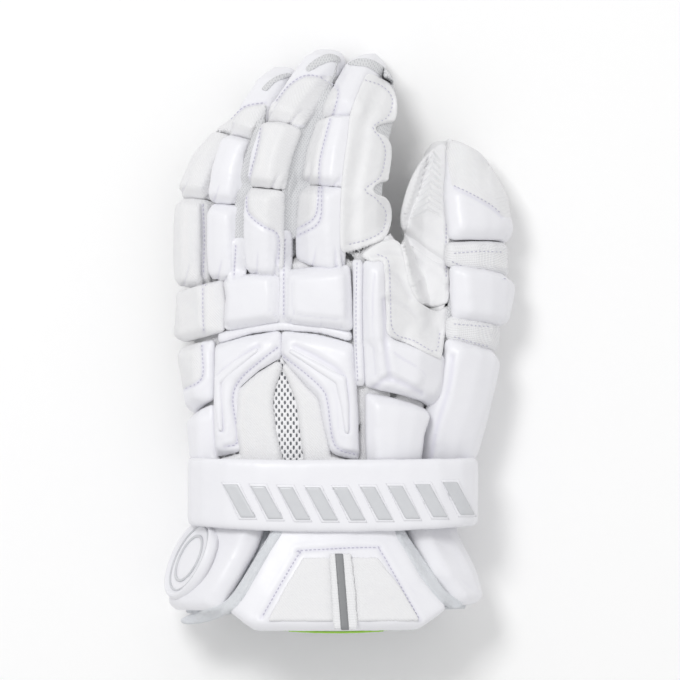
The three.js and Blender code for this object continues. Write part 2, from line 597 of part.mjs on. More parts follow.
const suedeParts = (height) => [
  ...fingerList.map((tube) => skinPart(tube, seams.palm.finger, sides.finger, height)),
  skinPart(thumb, seams.palm.thumb, sides.thumb, height),
];
const palm = union([skinPart(hand, seams.palm.hand, sides.hand), ...suedeParts(0)]).subtract(hollows);
const handWhole = asManifold(wedge(hand, { from: 0, to: 360, columns: sides.hand, height: skinGap }));
const handBack = skinPart(hand, seams.back.hand, sides.hand).subtract(hollows)
  .subtract(union(suedeParts(skinGap)));
const thumbBack = skinPart(thumb, seams.back.thumb, sides.thumb).subtract(hollows).subtract(handWhole);
const thumbInner = skinPart(thumb, seams.inner.thumb, sides.thumb).subtract(hollows).subtract(handWhole);

addPiece('palm', asGeometry(palm, skinTolerance), 'suede');
addPiece('hand_back', asGeometry(handBack, skinTolerance), 'twill');
addPiece('thumb_back', asGeometry(thumbBack, skinTolerance), 'knit');
addPiece('thumb_inner', asGeometry(thumbInner, skinTolerance), 'suede');
for (const [finger, tube] of Object.entries(fingers)) {
  const sleeve = skinPart(tube, seams.back.finger, sides.finger).subtract(hollows).subtract(handWhole);
  addPiece(`${finger}_sleeve`, asGeometry(sleeve, skinTolerance), 'knit');
}

// Wrist strap: a closed padded band
function band(tube, { inside, outside, turns, bevel }) {
  const length = tube.total;
  const edge = bevel / length;
  const profile = [[0, inside], [0, outside - bevel], [edge, outside], [1 - edge, outside],
    [1, outside - bevel], [1, inside]];
  const angles = spread(0, 360, turns);
  const points = [];
  const index = [];
  for (const [along, height] of profile) {
    points.push(...angles.slice(0, -1).map((angle) => tube.place(angle, along, height)));
  }
  const count = profile.length;
  for (let ring = 0; ring < count; ring += 1) {
    const next = (ring + 1) % count;
    for (let side = 0; side < turns; side += 1) {
      const after = (side + 1) % turns;
      index.push(ring * turns + side, next * turns + side, next * turns + after);
      index.push(ring * turns + side, next * turns + after, ring * turns + after);
    }
  }
  return closed(points, inThrees(index));
}
const strapBand = { inside: 0, outside: strapPad, turns: sides.strap, bevel: bandBevel };
addPiece('wrist_strap', band(strap, strapBand), 'leather');
const trimSheet = { base: strapPad + seamGap, thickness: strapTrim, bevel: trimBevel, columns: 4, steps: 8 };
addPiece('strap_trim', padOn(strap, located(strap, trimRibs), trimSheet), 'trim');

// Finger pads
for (const [finger, spans] of Object.entries(fingerPads)) {
  const tube = fingers[finger];
  const crease = knuckleCrease / tube.total / 2;
  const rib = (along) => [{ angle: spans.littleSide, along }, { angle: spans.thumbSide, along }];
  const parts = {
    base: [spans.start, spans.knuckle - crease],
    mid: [spans.knuckle + crease, spans.joint - crease],
    tip: [spans.joint + crease, 0.88, 1, 1.2, spans.end],
  };
  for (const [part, alongs] of Object.entries(parts)) {
    addPiece(`${finger}_pad_${part}`, padOn(tube, alongs.map(rib),
      { thickness: fingerPad, upright: true, columns: 4, steps: 2 }), 'leather');
  }
}
const ribOf = ({ along, from, to }) => [{ angle: from, along }, { angle: to, along }];
const wrapSheet = { thickness: wrapSuede, bevel: trimBevel, columns: 8, steps: wrapRows.length - 1 };
addPiece('index_side_wrap', padOn(fingers.index, wrapRows.map(ribOf), wrapSheet), 'suede');

// Pads and cloths on the back of the hand, each over the skin that carries it
const padBuild = {
  knuckle_pad_outer: { thickness: knucklePad, finish: 'twill' },
  knuckle_pad_middle: { thickness: knucklePad, finish: 'leather' },
  knuckle_pad_index: { thickness: knucklePad, finish: 'leather' },
  flex_band: { thickness: flexBand, bevel: trimBevel, finish: 'knit' },
  outer_pad_upper: { thickness: sidePad, finish: 'twill' },
  outer_pad_lower: { thickness: sidePad, finish: 'leather' },
  back_pad_left: { thickness: panelPad, finish: 'leather' },
  back_pad_right: { thickness: panelPad, finish: 'leather' },
  back_inset_left: { thickness: insetCloth, bevel: trimBevel, finish: 'twill' },
  back_inset_right: { thickness: insetCloth, bevel: trimBevel, finish: 'twill' },
  mesh_vent: { thickness: insetCloth, bevel: trimBevel, finish: 'knit' },
  binding_strip: { thickness: bindingTape, finish: 'webbing' },
  radial_pad_upper: { thickness: sidePad, finish: 'leather' },
  radial_pad_lower: { thickness: sidePad, finish: 'leather' },
  web_patch: { thickness: webSuede, bevel: trimBevel, finish: 'suede' },
};
for (const [name, ribs] of Object.entries(padRibs)) {
  const { finish, ...build } = padBuild[name];
  addPiece(name, padOn(hand, located(hand, ribs), { columns: 5, steps: 2, ...build }), finish);
}
const ridgeBase = panelPad + 2 * seamGap;
const ridge = { base: ridgeBase, thickness: ridgeHeight, bevel: trimBevel, columns: 4, steps: 4 };
for (const [name, ribs] of Object.entries(ridgeRibs)) {
  addPiece(name, padOn(hand, located(hand, ribs), ridge), 'trim');
}

// Thumb pads and webbing
const thumbPadding = { thickness: thumbPad, columns: 7, steps: 4 };
addPiece('thumb_cap', padOn(thumb, capRows.map(ribOf), thumbPadding), 'twill');
for (const [name, ribs] of Object.entries(thumbRibs)) {
  addPiece(name, padOn(thumb, located(thumb, ribs), thumbPadding), 'leather');
}
const thumbBand = { base: 0, thickness: thumbWebbing, bevel: trimBevel, columns: 8, steps: 1 };
for (const [name, ribs] of Object.entries(webbingRibs)) {
  addPiece(name, padOn(thumb, located(thumb, ribs), thumbBand), 'webbing');
}

// Cuff flaps over their linings
const lining = { thickness: cuffLining, bevel: trimBevel, columns: 6, steps: 4 };
for (const [name, ribs] of Object.entries(liningRibs)) {
  addPiece(name, padOn(cuff, located(cuff, ribs), lining), 'fleece');
}
const flap = { base: cuffLining + 2 * seamGap, thickness: cuffPad, columns: 7, steps: 4 };
for (const [name, ribs] of Object.entries(cuffRibs)) {
  addPiece(name, padOn(cuff, located(cuff, ribs), flap), 'leather');
}
const flapTop = flap.base + flap.thickness + seamGap;
const inset = { base: flapTop, thickness: insetSheet, bevel: trimBevel, columns: 5, steps: 2 };
addPiece('cuff_inset', padOn(cuff, located(cuff, insetRibs), inset), 'twill');
const loopBase = flapTop + insetSheet + seamGap;
const loop = { base: loopBase, thickness: cuffWebbing, bevel: trimBevel, columns: 4, steps: 2 };
addPiece('cuff_webbing', padOn(cuff, located(cuff, loopRibs), loop), 'webbing');

// The badge: a disc lying on the left flap, its rim found point by point
function badgeSpot(size, turn, height) {
  const middle = cuff.place(badge.angle, badge.along).distanceTo(cuff.section(badge.along).centre);
  const angle = badge.angle + THREE.MathUtils.radToDeg(badgeRadius / middle) * size * Math.cos(turn);
  return cuff.place(angle, badge.along + badgeRadius / cuff.total * size * Math.sin(turn), flapTop + height);
}
const badgeRing = (size, height) => spread(0, 2 * Math.PI, badge.sides).slice(0, -1)
  .map((turn) => badgeSpot(size, turn, height));
function badgeDisc() {
  const rings = [badgeRing(1, 0), badgeRing(1, badgeHeight * 0.6), badgeRing(0.88, badgeHeight)];
  const points = [...rings.flat(), badgeSpot(0, 0, 0), badgeSpot(0, 0, badgeHeight)];
  const faces = [];
  const count = badge.sides;
  for (let side = 0; side < count; side += 1) {
    const next = (side + 1) % count;
    for (const ring of [0, count]) {
      faces.push([ring + side, ring + next, ring + count + next]);
      faces.push([ring + side, ring + count + next, ring + count + side]);
    }
    faces.push([2 * count + side, 2 * count + next, points.length - 1], [next, side, points.length - 2]);
  }
  return closed(points, faces);
}
addPiece('cuff_badge', badgeDisc(), 'trim');

// Shifts the glove so that its footprint is centred on the origin and its lowest point is at 0
inner.updateMatrixWorld(true);
const bounds = new THREE.Box3().setFromObject(inner);
inner.position.set(-(bounds.min.x + bounds.max.x) / 2, -(bounds.min.y + bounds.max.y) / 2, -bounds.min.z);

export default glove;
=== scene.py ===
"""Dresses a left-hand lacrosse glove that lies palm down, and sets it up for a studio picture.

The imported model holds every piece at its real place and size. Each padded piece is rebuilt here as a
stuffed cloth form, each flat cloth as a thin sheet laid on what carries it, and the seams are sewn
with real stitches. Lengths are in metres. Seams and cloth outlines are drawn as chosen points of the
photograph's own 680 by 680 frame, which looks straight down on the glove.
"""

from __future__ import annotations

import json
import logging
import math
from dataclasses import dataclass, field, replace
from enum import Enum
from typing import Iterable, Sequence

import bmesh
import bpy
import numpy as np
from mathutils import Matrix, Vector, geometry, noise
from mathutils.bvhtree import BVHTree

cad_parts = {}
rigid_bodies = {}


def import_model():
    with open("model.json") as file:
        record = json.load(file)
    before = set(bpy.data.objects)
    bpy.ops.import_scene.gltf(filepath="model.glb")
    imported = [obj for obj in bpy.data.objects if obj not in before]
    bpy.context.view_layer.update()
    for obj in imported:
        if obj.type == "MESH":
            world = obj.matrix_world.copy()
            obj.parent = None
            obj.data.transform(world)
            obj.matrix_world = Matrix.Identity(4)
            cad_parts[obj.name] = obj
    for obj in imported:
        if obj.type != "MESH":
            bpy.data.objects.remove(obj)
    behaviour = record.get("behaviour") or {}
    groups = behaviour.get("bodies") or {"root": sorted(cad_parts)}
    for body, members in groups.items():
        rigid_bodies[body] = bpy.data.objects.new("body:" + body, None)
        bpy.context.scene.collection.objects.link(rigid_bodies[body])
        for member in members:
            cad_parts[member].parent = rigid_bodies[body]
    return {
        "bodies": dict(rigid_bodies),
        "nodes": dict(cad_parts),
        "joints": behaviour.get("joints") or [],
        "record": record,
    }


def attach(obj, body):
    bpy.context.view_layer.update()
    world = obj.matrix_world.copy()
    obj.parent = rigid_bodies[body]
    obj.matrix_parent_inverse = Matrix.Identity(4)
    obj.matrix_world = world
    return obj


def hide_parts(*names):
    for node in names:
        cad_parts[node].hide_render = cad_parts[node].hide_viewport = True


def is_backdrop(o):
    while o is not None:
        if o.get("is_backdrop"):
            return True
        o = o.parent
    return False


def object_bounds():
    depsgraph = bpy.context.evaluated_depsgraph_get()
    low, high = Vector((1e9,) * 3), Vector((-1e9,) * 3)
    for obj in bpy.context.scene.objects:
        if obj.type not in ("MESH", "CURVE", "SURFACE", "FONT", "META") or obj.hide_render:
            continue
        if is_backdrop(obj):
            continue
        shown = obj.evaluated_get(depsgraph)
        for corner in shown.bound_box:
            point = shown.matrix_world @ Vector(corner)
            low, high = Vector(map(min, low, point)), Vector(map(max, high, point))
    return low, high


LOG = logging.getLogger("glove")
MM = 0.001
ROOT = "root"
UP = np.array([0.0, 0.0, 1.0])
Pixels = Sequence[tuple[float, float]]
Table = tuple[tuple[str, tuple[Pixels, ...]], ...]
Piece = bpy.types.Object
Socket = bpy.types.NodeSocket


class Cloth(Enum):
    """The cloths and trims of the glove, by the record's material slot."""

    SMOOTH = "leather"
    TWILL = "twill"
    SUEDE = "suede"
    KNIT = "knit"
    WEBBING = "webbing"
    TRIM = "trim"
    FLEECE = "fleece"


# Plan and lines


@dataclass(frozen=True)
class PhotoPlan:
    """Turns a pixel of the photograph into a place on the glove seen from above.

    The glove's edges in the photograph are at these columns and rows, and its box in the model gives
    the same edges in metres.
    """

    low: Vector
    high: Vector
    left: float = 168.0
    right: float = 513.0
    top: float = 48.7
    bottom: float = 631.0

    def scale(self) -> tuple[float, float]:
        """Metres for one pixel across and along."""
        return ((self.high.x - self.low.x) / (self.right - self.left),
                (self.high.y - self.low.y) / (self.bottom - self.top))

    def line(self, pixels: Pixels) -> np.ndarray:
        """Places some pixels in plan.

        Args:
            pixels: Columns and rows in the photograph.

        Returns:
            One row of x and y in metres for each pixel.
        """
        across, along = self.scale()
        spots = np.array(pixels, float)
        return np.column_stack([self.low.x + (spots[:, 0] - self.left) * across,
                                self.low.y + (self.bottom - spots[:, 1]) * along])


def resampled(line: np.ndarray, step: float) -> np.ndarray:
    """Spaces points evenly along a line.

    Args:
        line: The line's corners.
        step: Wanted distance between points, in metres.

    Returns:
        The points, with both ends kept.
    """
    lengths = np.linalg.norm(np.diff(line, axis=0), axis=1)
    total = np.concatenate([[0.0], np.cumsum(lengths)])
    count = max(2, int(round(total[-1] / step)) + 1)
    wanted = np.linspace(0.0, total[-1], count)
    return np.column_stack([np.interp(wanted, total, line[:, axis]) for axis in range(line.shape[1])])


def curved(line: np.ndarray, loop: bool = False) -> np.ndarray:
    """Rounds a line with a Catmull-Rom curve. A point given twice stays a sharp corner.

    Args:
        line: The line's chosen points.
        loop: True where the last point joins the first.

    Returns:
        Eight points for each stretch of the line.
    """
    if loop:
        padded = np.vstack([line[-1], line, line[0], line[1]])
    else:
        padded = np.vstack([2 * line[0] - line[1], line, 2 * line[-1] - line[-2]])
    shares = np.linspace(0.0, 1.0, 8, endpoint=False)[:, None]
    out = []
    for before, here, after, beyond in zip(padded, padded[1:], padded[2:], padded[3:]):
        square, cube = shares ** 2, shares ** 3
        out.append(0.5 * (2 * here + (after - before) * shares
                          + (2 * before - 5 * here + 4 * after - beyond) * square
                          + (3 * here - before - 3 * after + beyond) * cube))
    points = np.vstack(out)
    if not loop:
        points = np.vstack([points, line[-1]])
    keep = np.concatenate([[True], np.linalg.norm(np.diff(points, axis=0), axis=1) > 1e-6])
    return points[keep]


def closed(outline: np.ndarray) -> np.ndarray:
    """Joins an outline's last point to its first."""
    return np.vstack([outline, outline[:1]])


def eased(share: np.ndarray) -> np.ndarray:
    """Turns a straight rise from 0 to 1 into one with soft ends."""
    return share * share * (3 - 2 * share)


def distance_to(points: np.ndarray, line: np.ndarray) -> np.ndarray:
    """Measures how far points lie from a line, in plan.

    Args:
        points: One row of x and y for each point.
        line: The line's points.

    Returns:
        One distance for each point.
    """
    best = np.full(len(points), 1e9)
    for start, end in zip(line, line[1:]):
        run = end - start
        share = np.clip(((points - start) @ run) / max(run @ run, 1e-18), 0.0, 1.0)
        best = np.minimum(best, np.linalg.norm(points - (start + share[:, None] * run), axis=1))
    return best


def inside(points: np.ndarray, outline: np.ndarray) -> np.ndarray:
    """Says which points lie inside an outline, in plan.

    Args:
        points: One row of x and y for each point.
        outline: The outline's points, not closed.

    Returns:
        One true or false for each point.
    """
    result = np.zeros(len(points), bool)
    ends = np.roll(outline, -1, axis=0)
    for (x0, y0), (x1, y1) in zip(outline, ends):
        crosses = (y0 > points[:, 1]) != (y1 > points[:, 1])
        slope = (x1 - x0) / (y1 - y0) if y1 != y0 else 0.0
        result ^= crosses & (points[:, 0] < x0 + (points[:, 1] - y0) * slope)
    return result


def signed_depth(points: np.ndarray, outline: np.ndarray) -> np.ndarray:
    """Measures how deep points lie inside an outline, with less than nothing outside it."""
    depth = distance_to(points, closed(outline))
    return np.where(inside(points, outline), depth, -depth)


def waves(points: np.ndarray, size: float, seed: float) -> np.ndarray:
    """Gives smooth noise at each point.

    Args:
        points: Places in metres.
        size: Distance from one bump to the next.
        seed: A shift that makes one pattern differ from another.

    Returns:
        Values from about -1 to 1.
    """
    shift = Vector((seed, seed * 1.7, -seed))
    return np.array([noise.noise(Vector(point / size) + shift) for point in points])


# Meshes


def link(obj: Piece) -> Piece:
    """Puts an object into the scene."""
    bpy.context.scene.collection.objects.link(obj)
    return obj


def mesh_object(name: str, points: np.ndarray, faces: Iterable[Sequence[int]]) -> Piece:
    """Makes an object of some points and faces, smooth-shaded.

    Args:
        name: The piece's name.
        points: Its points in metres.
        faces: Its faces, as numbers of points.

    Returns:
        The object, in the scene.
    """
    mesh = bpy.data.meshes.new(name)
    mesh.from_pydata([tuple(point) for point in points], [], [tuple(int(v) for v in face) for face in faces])
    mesh.validate()
    mesh.polygons.foreach_set("use_smooth", np.ones(len(mesh.polygons), bool))
    mesh.update()
    return link(bpy.data.objects.new(name, mesh))


class SoftMesh:
    """A piece's mesh while it is shaped."""

    def __init__(self, obj: Piece) -> None:
        """Reads the mesh.

        Args:
            obj: The object to shape.
        """
        self.obj = obj
        mesh = obj.data
        self.points = np.zeros(len(mesh.vertices) * 3)
        mesh.vertices.foreach_get("co", self.points)
        self.points = self.points.reshape(-1, 3)
        edges = np.zeros(len(mesh.edges) * 2, np.int64)
        mesh.edges.foreach_get("vertices", edges)
        self.edges = edges.reshape(-1, 2)
        self.ties = np.bincount(self.edges.ravel(), minlength=len(self.points)).clip(1)

    def normals(self) -> np.ndarray:
        """Works out the normal at each point of the shape as it is now."""
        self.write()
        values = np.zeros(len(self.points) * 3)
        self.obj.data.vertex_normals.foreach_get("vector", values)
        return values.reshape(-1, 3)

    def averaged(self, values: np.ndarray) -> np.ndarray:
        """Gives the mean of each point's neighbours.

        Args:
            values: One row for each point.

        Returns:
            The means, in the same shape.
        """
        out = np.zeros_like(values)
        first, second = self.edges[:, 0], self.edges[:, 1]
        for axis in range(values.shape[1]):
            out[:, axis] = (np.bincount(first, values[second, axis], len(values))
                            + np.bincount(second, values[first, axis], len(values)))
        return out / self.ties[:, None]

    def relax(self, rounds: int, back: float = 0.0) -> None:
        """Smooths the form.

        Args:
            rounds: How often each point moves towards its neighbours.
            back: The share of each move that is taken back, which keeps the form's bulk.
        """
        for _ in range(rounds):
            self.points += 0.5 * (self.averaged(self.points) - self.points)
            if back:
                self.points -= back * (self.averaged(self.points) - self.points)

    def push(self, amount: np.ndarray | float) -> None:
        """Moves the points along their normals.

        Args:
            amount: How far, in metres, for all or for each point.
        """
        self.points += self.normals() * np.broadcast_to(amount, len(self.points))[:, None]

    def crown(self, height: float) -> None:
        """Lifts the middle of a pad more than its rim.

        Args:
            height: The lift at the middle, in metres.
        """
        centre = self.points.mean(axis=0)
        _, _, axes = np.linalg.svd(self.points - centre, full_matrices=False)
        places = (self.points - centre) @ axes.T
        reach = np.abs(places).max(axis=0)
        shares = np.clip(1 - (places[:, :2] / reach[:2]) ** 2, 0, 1)
        upper = np.clip(self.normals()[:, 2] + 0.3, 0, 1)
        self.push(height * (shares[:, 0] * shares[:, 1]) * upper)

    def seam(self, line: np.ndarray, depth: float, width: float, swell: float = 0.3) -> np.ndarray:
        """Draws the cloth in along a seam, with a low swell on both sides.

        Args:
            line: The seam in plan.
            depth: How far it is drawn in.
            width: Half the width of the valley.
            swell: Height of the swell, as a share of the depth.

        Returns:
            How strongly the seam acts at each point, from 0 to 1.
        """
        away = distance_to(self.points[:, :2], line)
        normals = self.normals()
        facing = np.clip((normals[:, 2] + 0.15) / 0.5, 0, 1)
        valley = np.exp(-(away / width) ** 2) * facing
        rise = np.exp(-((away - 2.1 * width) / width) ** 2) * facing
        self.points += normals * (depth * (swell * rise - valley))[:, None]
        return valley

    def write(self) -> None:
        """Puts the points back into the mesh."""
        self.obj.data.vertices.foreach_set("co", self.points.astype(np.float32).ravel())
        self.obj.data.update()

    def mark(self, name: str, values: np.ndarray) -> None:
        """Keeps a value at each point for the materials.

        Args:
            name: The attribute's name.
            values: One number for each point.
        """
        attribute = self.obj.data.attributes.get(name)
        attribute = attribute or self.obj.data.attributes.new(name, "FLOAT", "POINT")
        attribute.data.foreach_set("value", values.astype(np.float32))


def remeshed(source: Piece, name: str, grain: float) -> Piece:
    """Copies a solid as an even net of small faces.

    Args:
        source: The solid.
        name: The new piece's name.
        grain: Size of the faces, in metres.

    Returns:
        The new object, in the scene.
    """
    mesh = bpy.data.meshes.new(name)
    work = bmesh.new()
    work.from_mesh(source.data)
    bmesh.ops.remove_doubles(work, verts=work.verts, dist=2e-6)
    work.to_mesh(mesh)
    work.free()
    draft = link(bpy.data.objects.new(name + "_draft", mesh))
    modifier = draft.modifiers.new("even", "REMESH")
    modifier.mode = "VOXEL"
    modifier.voxel_size = grain
    depsgraph = bpy.context.evaluated_depsgraph_get()
    even = bpy.data.meshes.new_from_object(draft.evaluated_get(depsgraph))
    even.materials.clear()
    bpy.data.objects.remove(draft)
    bpy.data.meshes.remove(mesh)
    even.polygons.foreach_set("use_smooth", np.ones(len(even.polygons), bool))
    return link(bpy.data.objects.new(name, even))


# Materials


class Shader:
    """A material's or group's node tree, with short calls that add and join nodes."""

    def __init__(self, tree: bpy.types.NodeTree) -> None:
        """Keeps the tree."""
        self.tree = tree

    def add(self, kind: str, inputs: dict[str | int, object] | None = None,
            **settings: object) -> bpy.types.Node:
        """Adds a node.

        Args:
            kind: The node's type, without the ShaderNode before it.
            inputs: Values or sockets for its inputs.
            **settings: Its other settings.

        Returns:
            The node.
        """
        node = self.tree.nodes.new(kind if kind.startswith("Node") else "ShaderNode" + kind)
        for key, value in settings.items():
            setattr(node, key, value)
        for key, value in (inputs or {}).items():
            self.join(value, node.inputs[key])
        return node

    def join(self, value: object, socket: Socket) -> None:
        """Links a socket to an input, or sets the input's value."""
        if isinstance(value, Socket):
            self.tree.links.new(value, socket)
        else:
            socket.default_value = value

    def maths(self, operation: str, *values: object) -> Socket:
        """Adds a sum, product or other step of arithmetic and returns its result."""
        return self.add("Math", dict(enumerate(values)), operation=operation).outputs[0]

    def weighed(self, first: object, share: float, second: object) -> Socket:
        """Adds two numbers by their shares of the sum and returns the result."""
        return self.maths("ADD", self.maths("MULTIPLY", first, share),
                          self.maths("MULTIPLY", second, 1 - share))

    def cloudy(self, place: object, scale: object, detail: float, **more: float) -> Socket:
        """Adds noise and returns its value."""
        return self.add("TexNoise", {"Vector": place, "Scale": scale, "Detail": detail, **more}).outputs[0]

    def level(self, share: object, first: object, second: object) -> Socket:
        """Mixes two numbers and returns the result."""
        return self.add("Mix", {0: share, 2: first, 3: second}, data_type="FLOAT").outputs[0]

    def blend(self, share: object, first: object, second: object) -> Socket:
        """Mixes two colours and returns the result."""
        node = self.add("Mix", data_type="RGBA", blend_type="MIX")
        for value, socket in zip((share, first, second), (node.inputs[0], node.inputs[6], node.inputs[7])):
            self.join(value, socket)
        return node.outputs[2]


class Effect(Enum):
    """The surface effects that several materials share."""

    GRAIN = "fine_grain"
    TWILL = "twill_lines"
    NAP = "suede_nap"
    KNIT = "knit_loops"
    RIBS = "webbing_ribs"


def effect_group(effect: Effect) -> bpy.types.NodeTree:
    """Builds the node group of an effect, or gives the one that is there.

    Args:
        effect: Which effect.

    Returns:
        A group with the input Size, in metres, and the outputs Height and Tint, from 0 to 1.
    """
    if effect.value in bpy.data.node_groups:
        return bpy.data.node_groups[effect.value]
    tree = bpy.data.node_groups.new(effect.value, "ShaderNodeTree")
    tree.interface.new_socket("Size", in_out="INPUT", socket_type="NodeSocketFloat").default_value = MM
    for name in ("Height", "Tint"):
        tree.interface.new_socket(name, in_out="OUTPUT", socket_type="NodeSocketFloat")
    shader = Shader(tree)
    given = shader.add("NodeGroupInput").outputs["Size"]
    out = shader.add("NodeGroupOutput")
    place = shader.add("TexCoord").outputs["Object"]
    scale = shader.maths("DIVIDE", 1.0, given)
    height, tint = EFFECTS[effect](shader, place, scale)
    shader.join(height, out.inputs["Height"])
    shader.join(tint, out.inputs["Tint"])
    return tree


def grain_effect(shader: Shader, place: Socket, scale: Socket) -> tuple:
    """Pebbles of a coated cloth, with broad soft unevenness."""
    cells = shader.add("TexVoronoi", {"Vector": place, "Scale": scale}, feature="SMOOTH_F1")
    broad = shader.cloudy(place, shader.maths("DIVIDE", scale, 9.0), 4.0)
    fine = shader.cloudy(place, shader.maths("MULTIPLY", scale, 1.6), 2.0)
    return shader.weighed(cells.outputs["Distance"], 0.5, fine), broad


def slanted(shader: Shader, place: Socket, direction: tuple[float, float, float], scale: Socket) -> Socket:
    """Gives lines across a direction, as a wave from 0 to 1."""
    along = shader.add("VectorMath", {0: place, 1: direction}, operation="DOT_PRODUCT").outputs["Value"]
    turn = shader.maths("MULTIPLY", shader.maths("MULTIPLY", along, scale), 2 * math.pi)
    return shader.maths("ADD", shader.maths("MULTIPLY", shader.maths("SINE", turn), 0.5), 0.5)


def twill_effect(shader: Shader, place: Socket, scale: Socket) -> tuple:
    """Fine diagonal ribs broken by short threads."""
    ribs = slanted(shader, place, (0.64, 0.64, 0.42), scale)
    threads = slanted(shader, place, (1.1, -0.9, 0.5), shader.maths("MULTIPLY", scale, 0.8))
    blur = shader.cloudy(place, shader.maths("DIVIDE", scale, 5.0), 3.0)
    return shader.weighed(ribs, 0.7, threads), blur


def nap_effect(shader: Shader, place: Socket, scale: Socket) -> tuple:
    """Short brushed fibres lying in patches."""
    fibres = shader.cloudy(place, scale, 8.0, Roughness=0.75)
    patches = shader.cloudy(place, shader.maths("DIVIDE", scale, 14.0), 5.0, Distortion=0.6)
    return fibres, patches


def knit_effect(shader: Shader, place: Socket, scale: Socket) -> tuple:
    """Crossed loops with small holes between them."""
    first = slanted(shader, place, (0.78, 0.62, 0.2), scale)
    second = slanted(shader, place, (-0.78, 0.62, 0.2), scale)
    height = shader.maths("MAXIMUM", first, second)
    return height, shader.maths("MULTIPLY", first, second)


def rib_effect(shader: Shader, place: Socket, scale: Socket) -> tuple:
    """Closely woven ribs along a band, crossed by finer threads."""
    ribs = slanted(shader, place, (0.05, 1.0, 0.3), scale)
    threads = slanted(shader, place, (1.0, 0.0, 0.6), shader.maths("MULTIPLY", scale, 1.7))
    return shader.weighed(ribs, 0.75, threads), threads


EFFECTS = {Effect.GRAIN: grain_effect, Effect.TWILL: twill_effect, Effect.NAP: nap_effect,
           Effect.KNIT: knit_effect, Effect.RIBS: rib_effect}


@dataclass(frozen=True)
class Finish:
    """How one cloth or trim looks."""

    name: str
    colour: tuple[float, float, float]
    shade: tuple[float, float, float]
    roughness: float
    effect: Effect
    size: float
    relief: float
    sheen: float = 0.0
    coat: float = 0.0
    tint: float = 0.25
    partner: Finish | None = None

    def material(self) -> bpy.types.Material:
        """Builds the material, or gives the one that is there.

        Returns:
            A material whose colour is painted with shade in seams and hollows by the attribute seam.
        """
        if self.name in bpy.data.materials:
            return bpy.data.materials[self.name]
        material = bpy.data.materials.new(self.name)
        material.use_nodes = True
        shader = Shader(material.node_tree)
        surface = material.node_tree.nodes["Principled BSDF"]
        colour, rough, height = self.surface(shader)
        if self.partner:
            marked = shader.add("Attribute", attribute_name="twill").outputs["Fac"]
            share = shader.add("Clamp", {"Value": shader.maths("MULTIPLY", marked, 4.0)}).outputs[0]
            other, other_rough, other_height = self.partner.surface(shader)
            colour = shader.blend(share, colour, other)
            rough = shader.level(share, rough, other_rough)
            height = shader.level(share, height, other_height)
        shader.join(colour, surface.inputs["Base Color"])
        shader.join(rough, surface.inputs["Roughness"])
        bump = shader.add("Bump", {"Height": height, "Distance": MM, "Strength": 1.0})
        shader.join(bump.outputs["Normal"], surface.inputs["Normal"])
        surface.inputs["Sheen Weight"].default_value = self.sheen
        surface.inputs["Coat Weight"].default_value = self.coat
        surface.inputs["Coat Roughness"].default_value = 0.3
        surface.inputs["Specular IOR Level"].default_value = 0.4
        return material

    def surface(self, shader: Shader) -> tuple:
        """Adds the nodes of the cloth's colour, roughness and height.

        Args:
            shader: The material's nodes.

        Returns:
            The three sockets. The height is in millimetres.
        """
        group = shader.add("Group", node_tree=effect_group(self.effect))
        group.inputs["Size"].default_value = self.size
        # The attribute seam holds shade painted along seam valleys and in hollows; with the effect's own tone
        # it mixes the colour towards the shade colour
        seam = shader.add("Attribute", attribute_name="seam").outputs["Fac"]
        worn = shader.maths("MULTIPLY", group.outputs["Tint"], self.tint)
        dark = shader.maths("MAXIMUM", shader.maths("MULTIPLY", seam, 0.75), worn)
        colour = shader.blend(dark, (*self.colour, 1), (*self.shade, 1))
        rough = shader.maths("MULTIPLY_ADD", group.outputs["Tint"], 0.12, self.roughness - 0.06)
        return colour, rough, shader.maths("MULTIPLY", group.outputs["Height"], self.relief / MM)


# Each finish gives the cloth's colour and the colour of the shade painted into its seams and hollows, which
# the effect's tone also mixes in, the roughness, the effect, the size of the effect and its height.
# The lilac grey painted as shade into the seams and hollows of the white cloths
LILAC_PAINTED_SHADE = (0.66, 0.645, 0.76)
TWILL_WHITE = Finish("twill_white_cloth", (0.86, 0.86, 0.865), (0.66, 0.65, 0.73),
                     0.58, Effect.TWILL, 1.0 * MM, 0.16 * MM, tint=0.2)
FINISHES = {
    Cloth.SMOOTH: Finish("smooth_white_cloth", (0.87, 0.87, 0.90), LILAC_PAINTED_SHADE,
                         0.40, Effect.GRAIN, 0.55 * MM, 0.04 * MM, coat=0.12, tint=0.12, partner=TWILL_WHITE),
    Cloth.TWILL: TWILL_WHITE,
    Cloth.SUEDE: Finish("off_white_suede", (0.90, 0.90, 0.905), (0.70, 0.70, 0.73),
                        0.95, Effect.NAP, 0.5 * MM, 0.14 * MM, sheen=0.4, tint=0.45),
    Cloth.KNIT: Finish("grey_knit", (0.76, 0.765, 0.78), (0.46, 0.47, 0.49),
                       0.85, Effect.KNIT, 1.2 * MM, 0.25 * MM, tint=0.7),
    Cloth.WEBBING: Finish("white_webbing", (0.88, 0.88, 0.89), (0.64, 0.64, 0.69),
                          0.65, Effect.RIBS, 1.3 * MM, 0.22 * MM, tint=0.25),
    Cloth.TRIM: Finish("silver_trim", (0.66, 0.67, 0.69), (0.50, 0.51, 0.55),
                       0.34, Effect.GRAIN, 0.5 * MM, 0.08 * MM, coat=0.4, tint=0.4),
    Cloth.FLEECE: Finish("pale_fleece", (0.88, 0.90, 0.93), (0.70, 0.73, 0.78),
                         1.0, Effect.NAP, 0.9 * MM, 0.9 * MM, sheen=0.5, tint=0.7),
}
THREAD = Finish("pale_thread", (0.62, 0.61, 0.71), (0.45, 0.44, 0.55),
                0.6, Effect.RIBS, 0.3 * MM, 0.02 * MM)
LIME = Finish("lime_lining", (0.40, 0.74, 0.08), (0.25, 0.52, 0.05),
              0.7, Effect.KNIT, 0.8 * MM, 0.05 * MM)
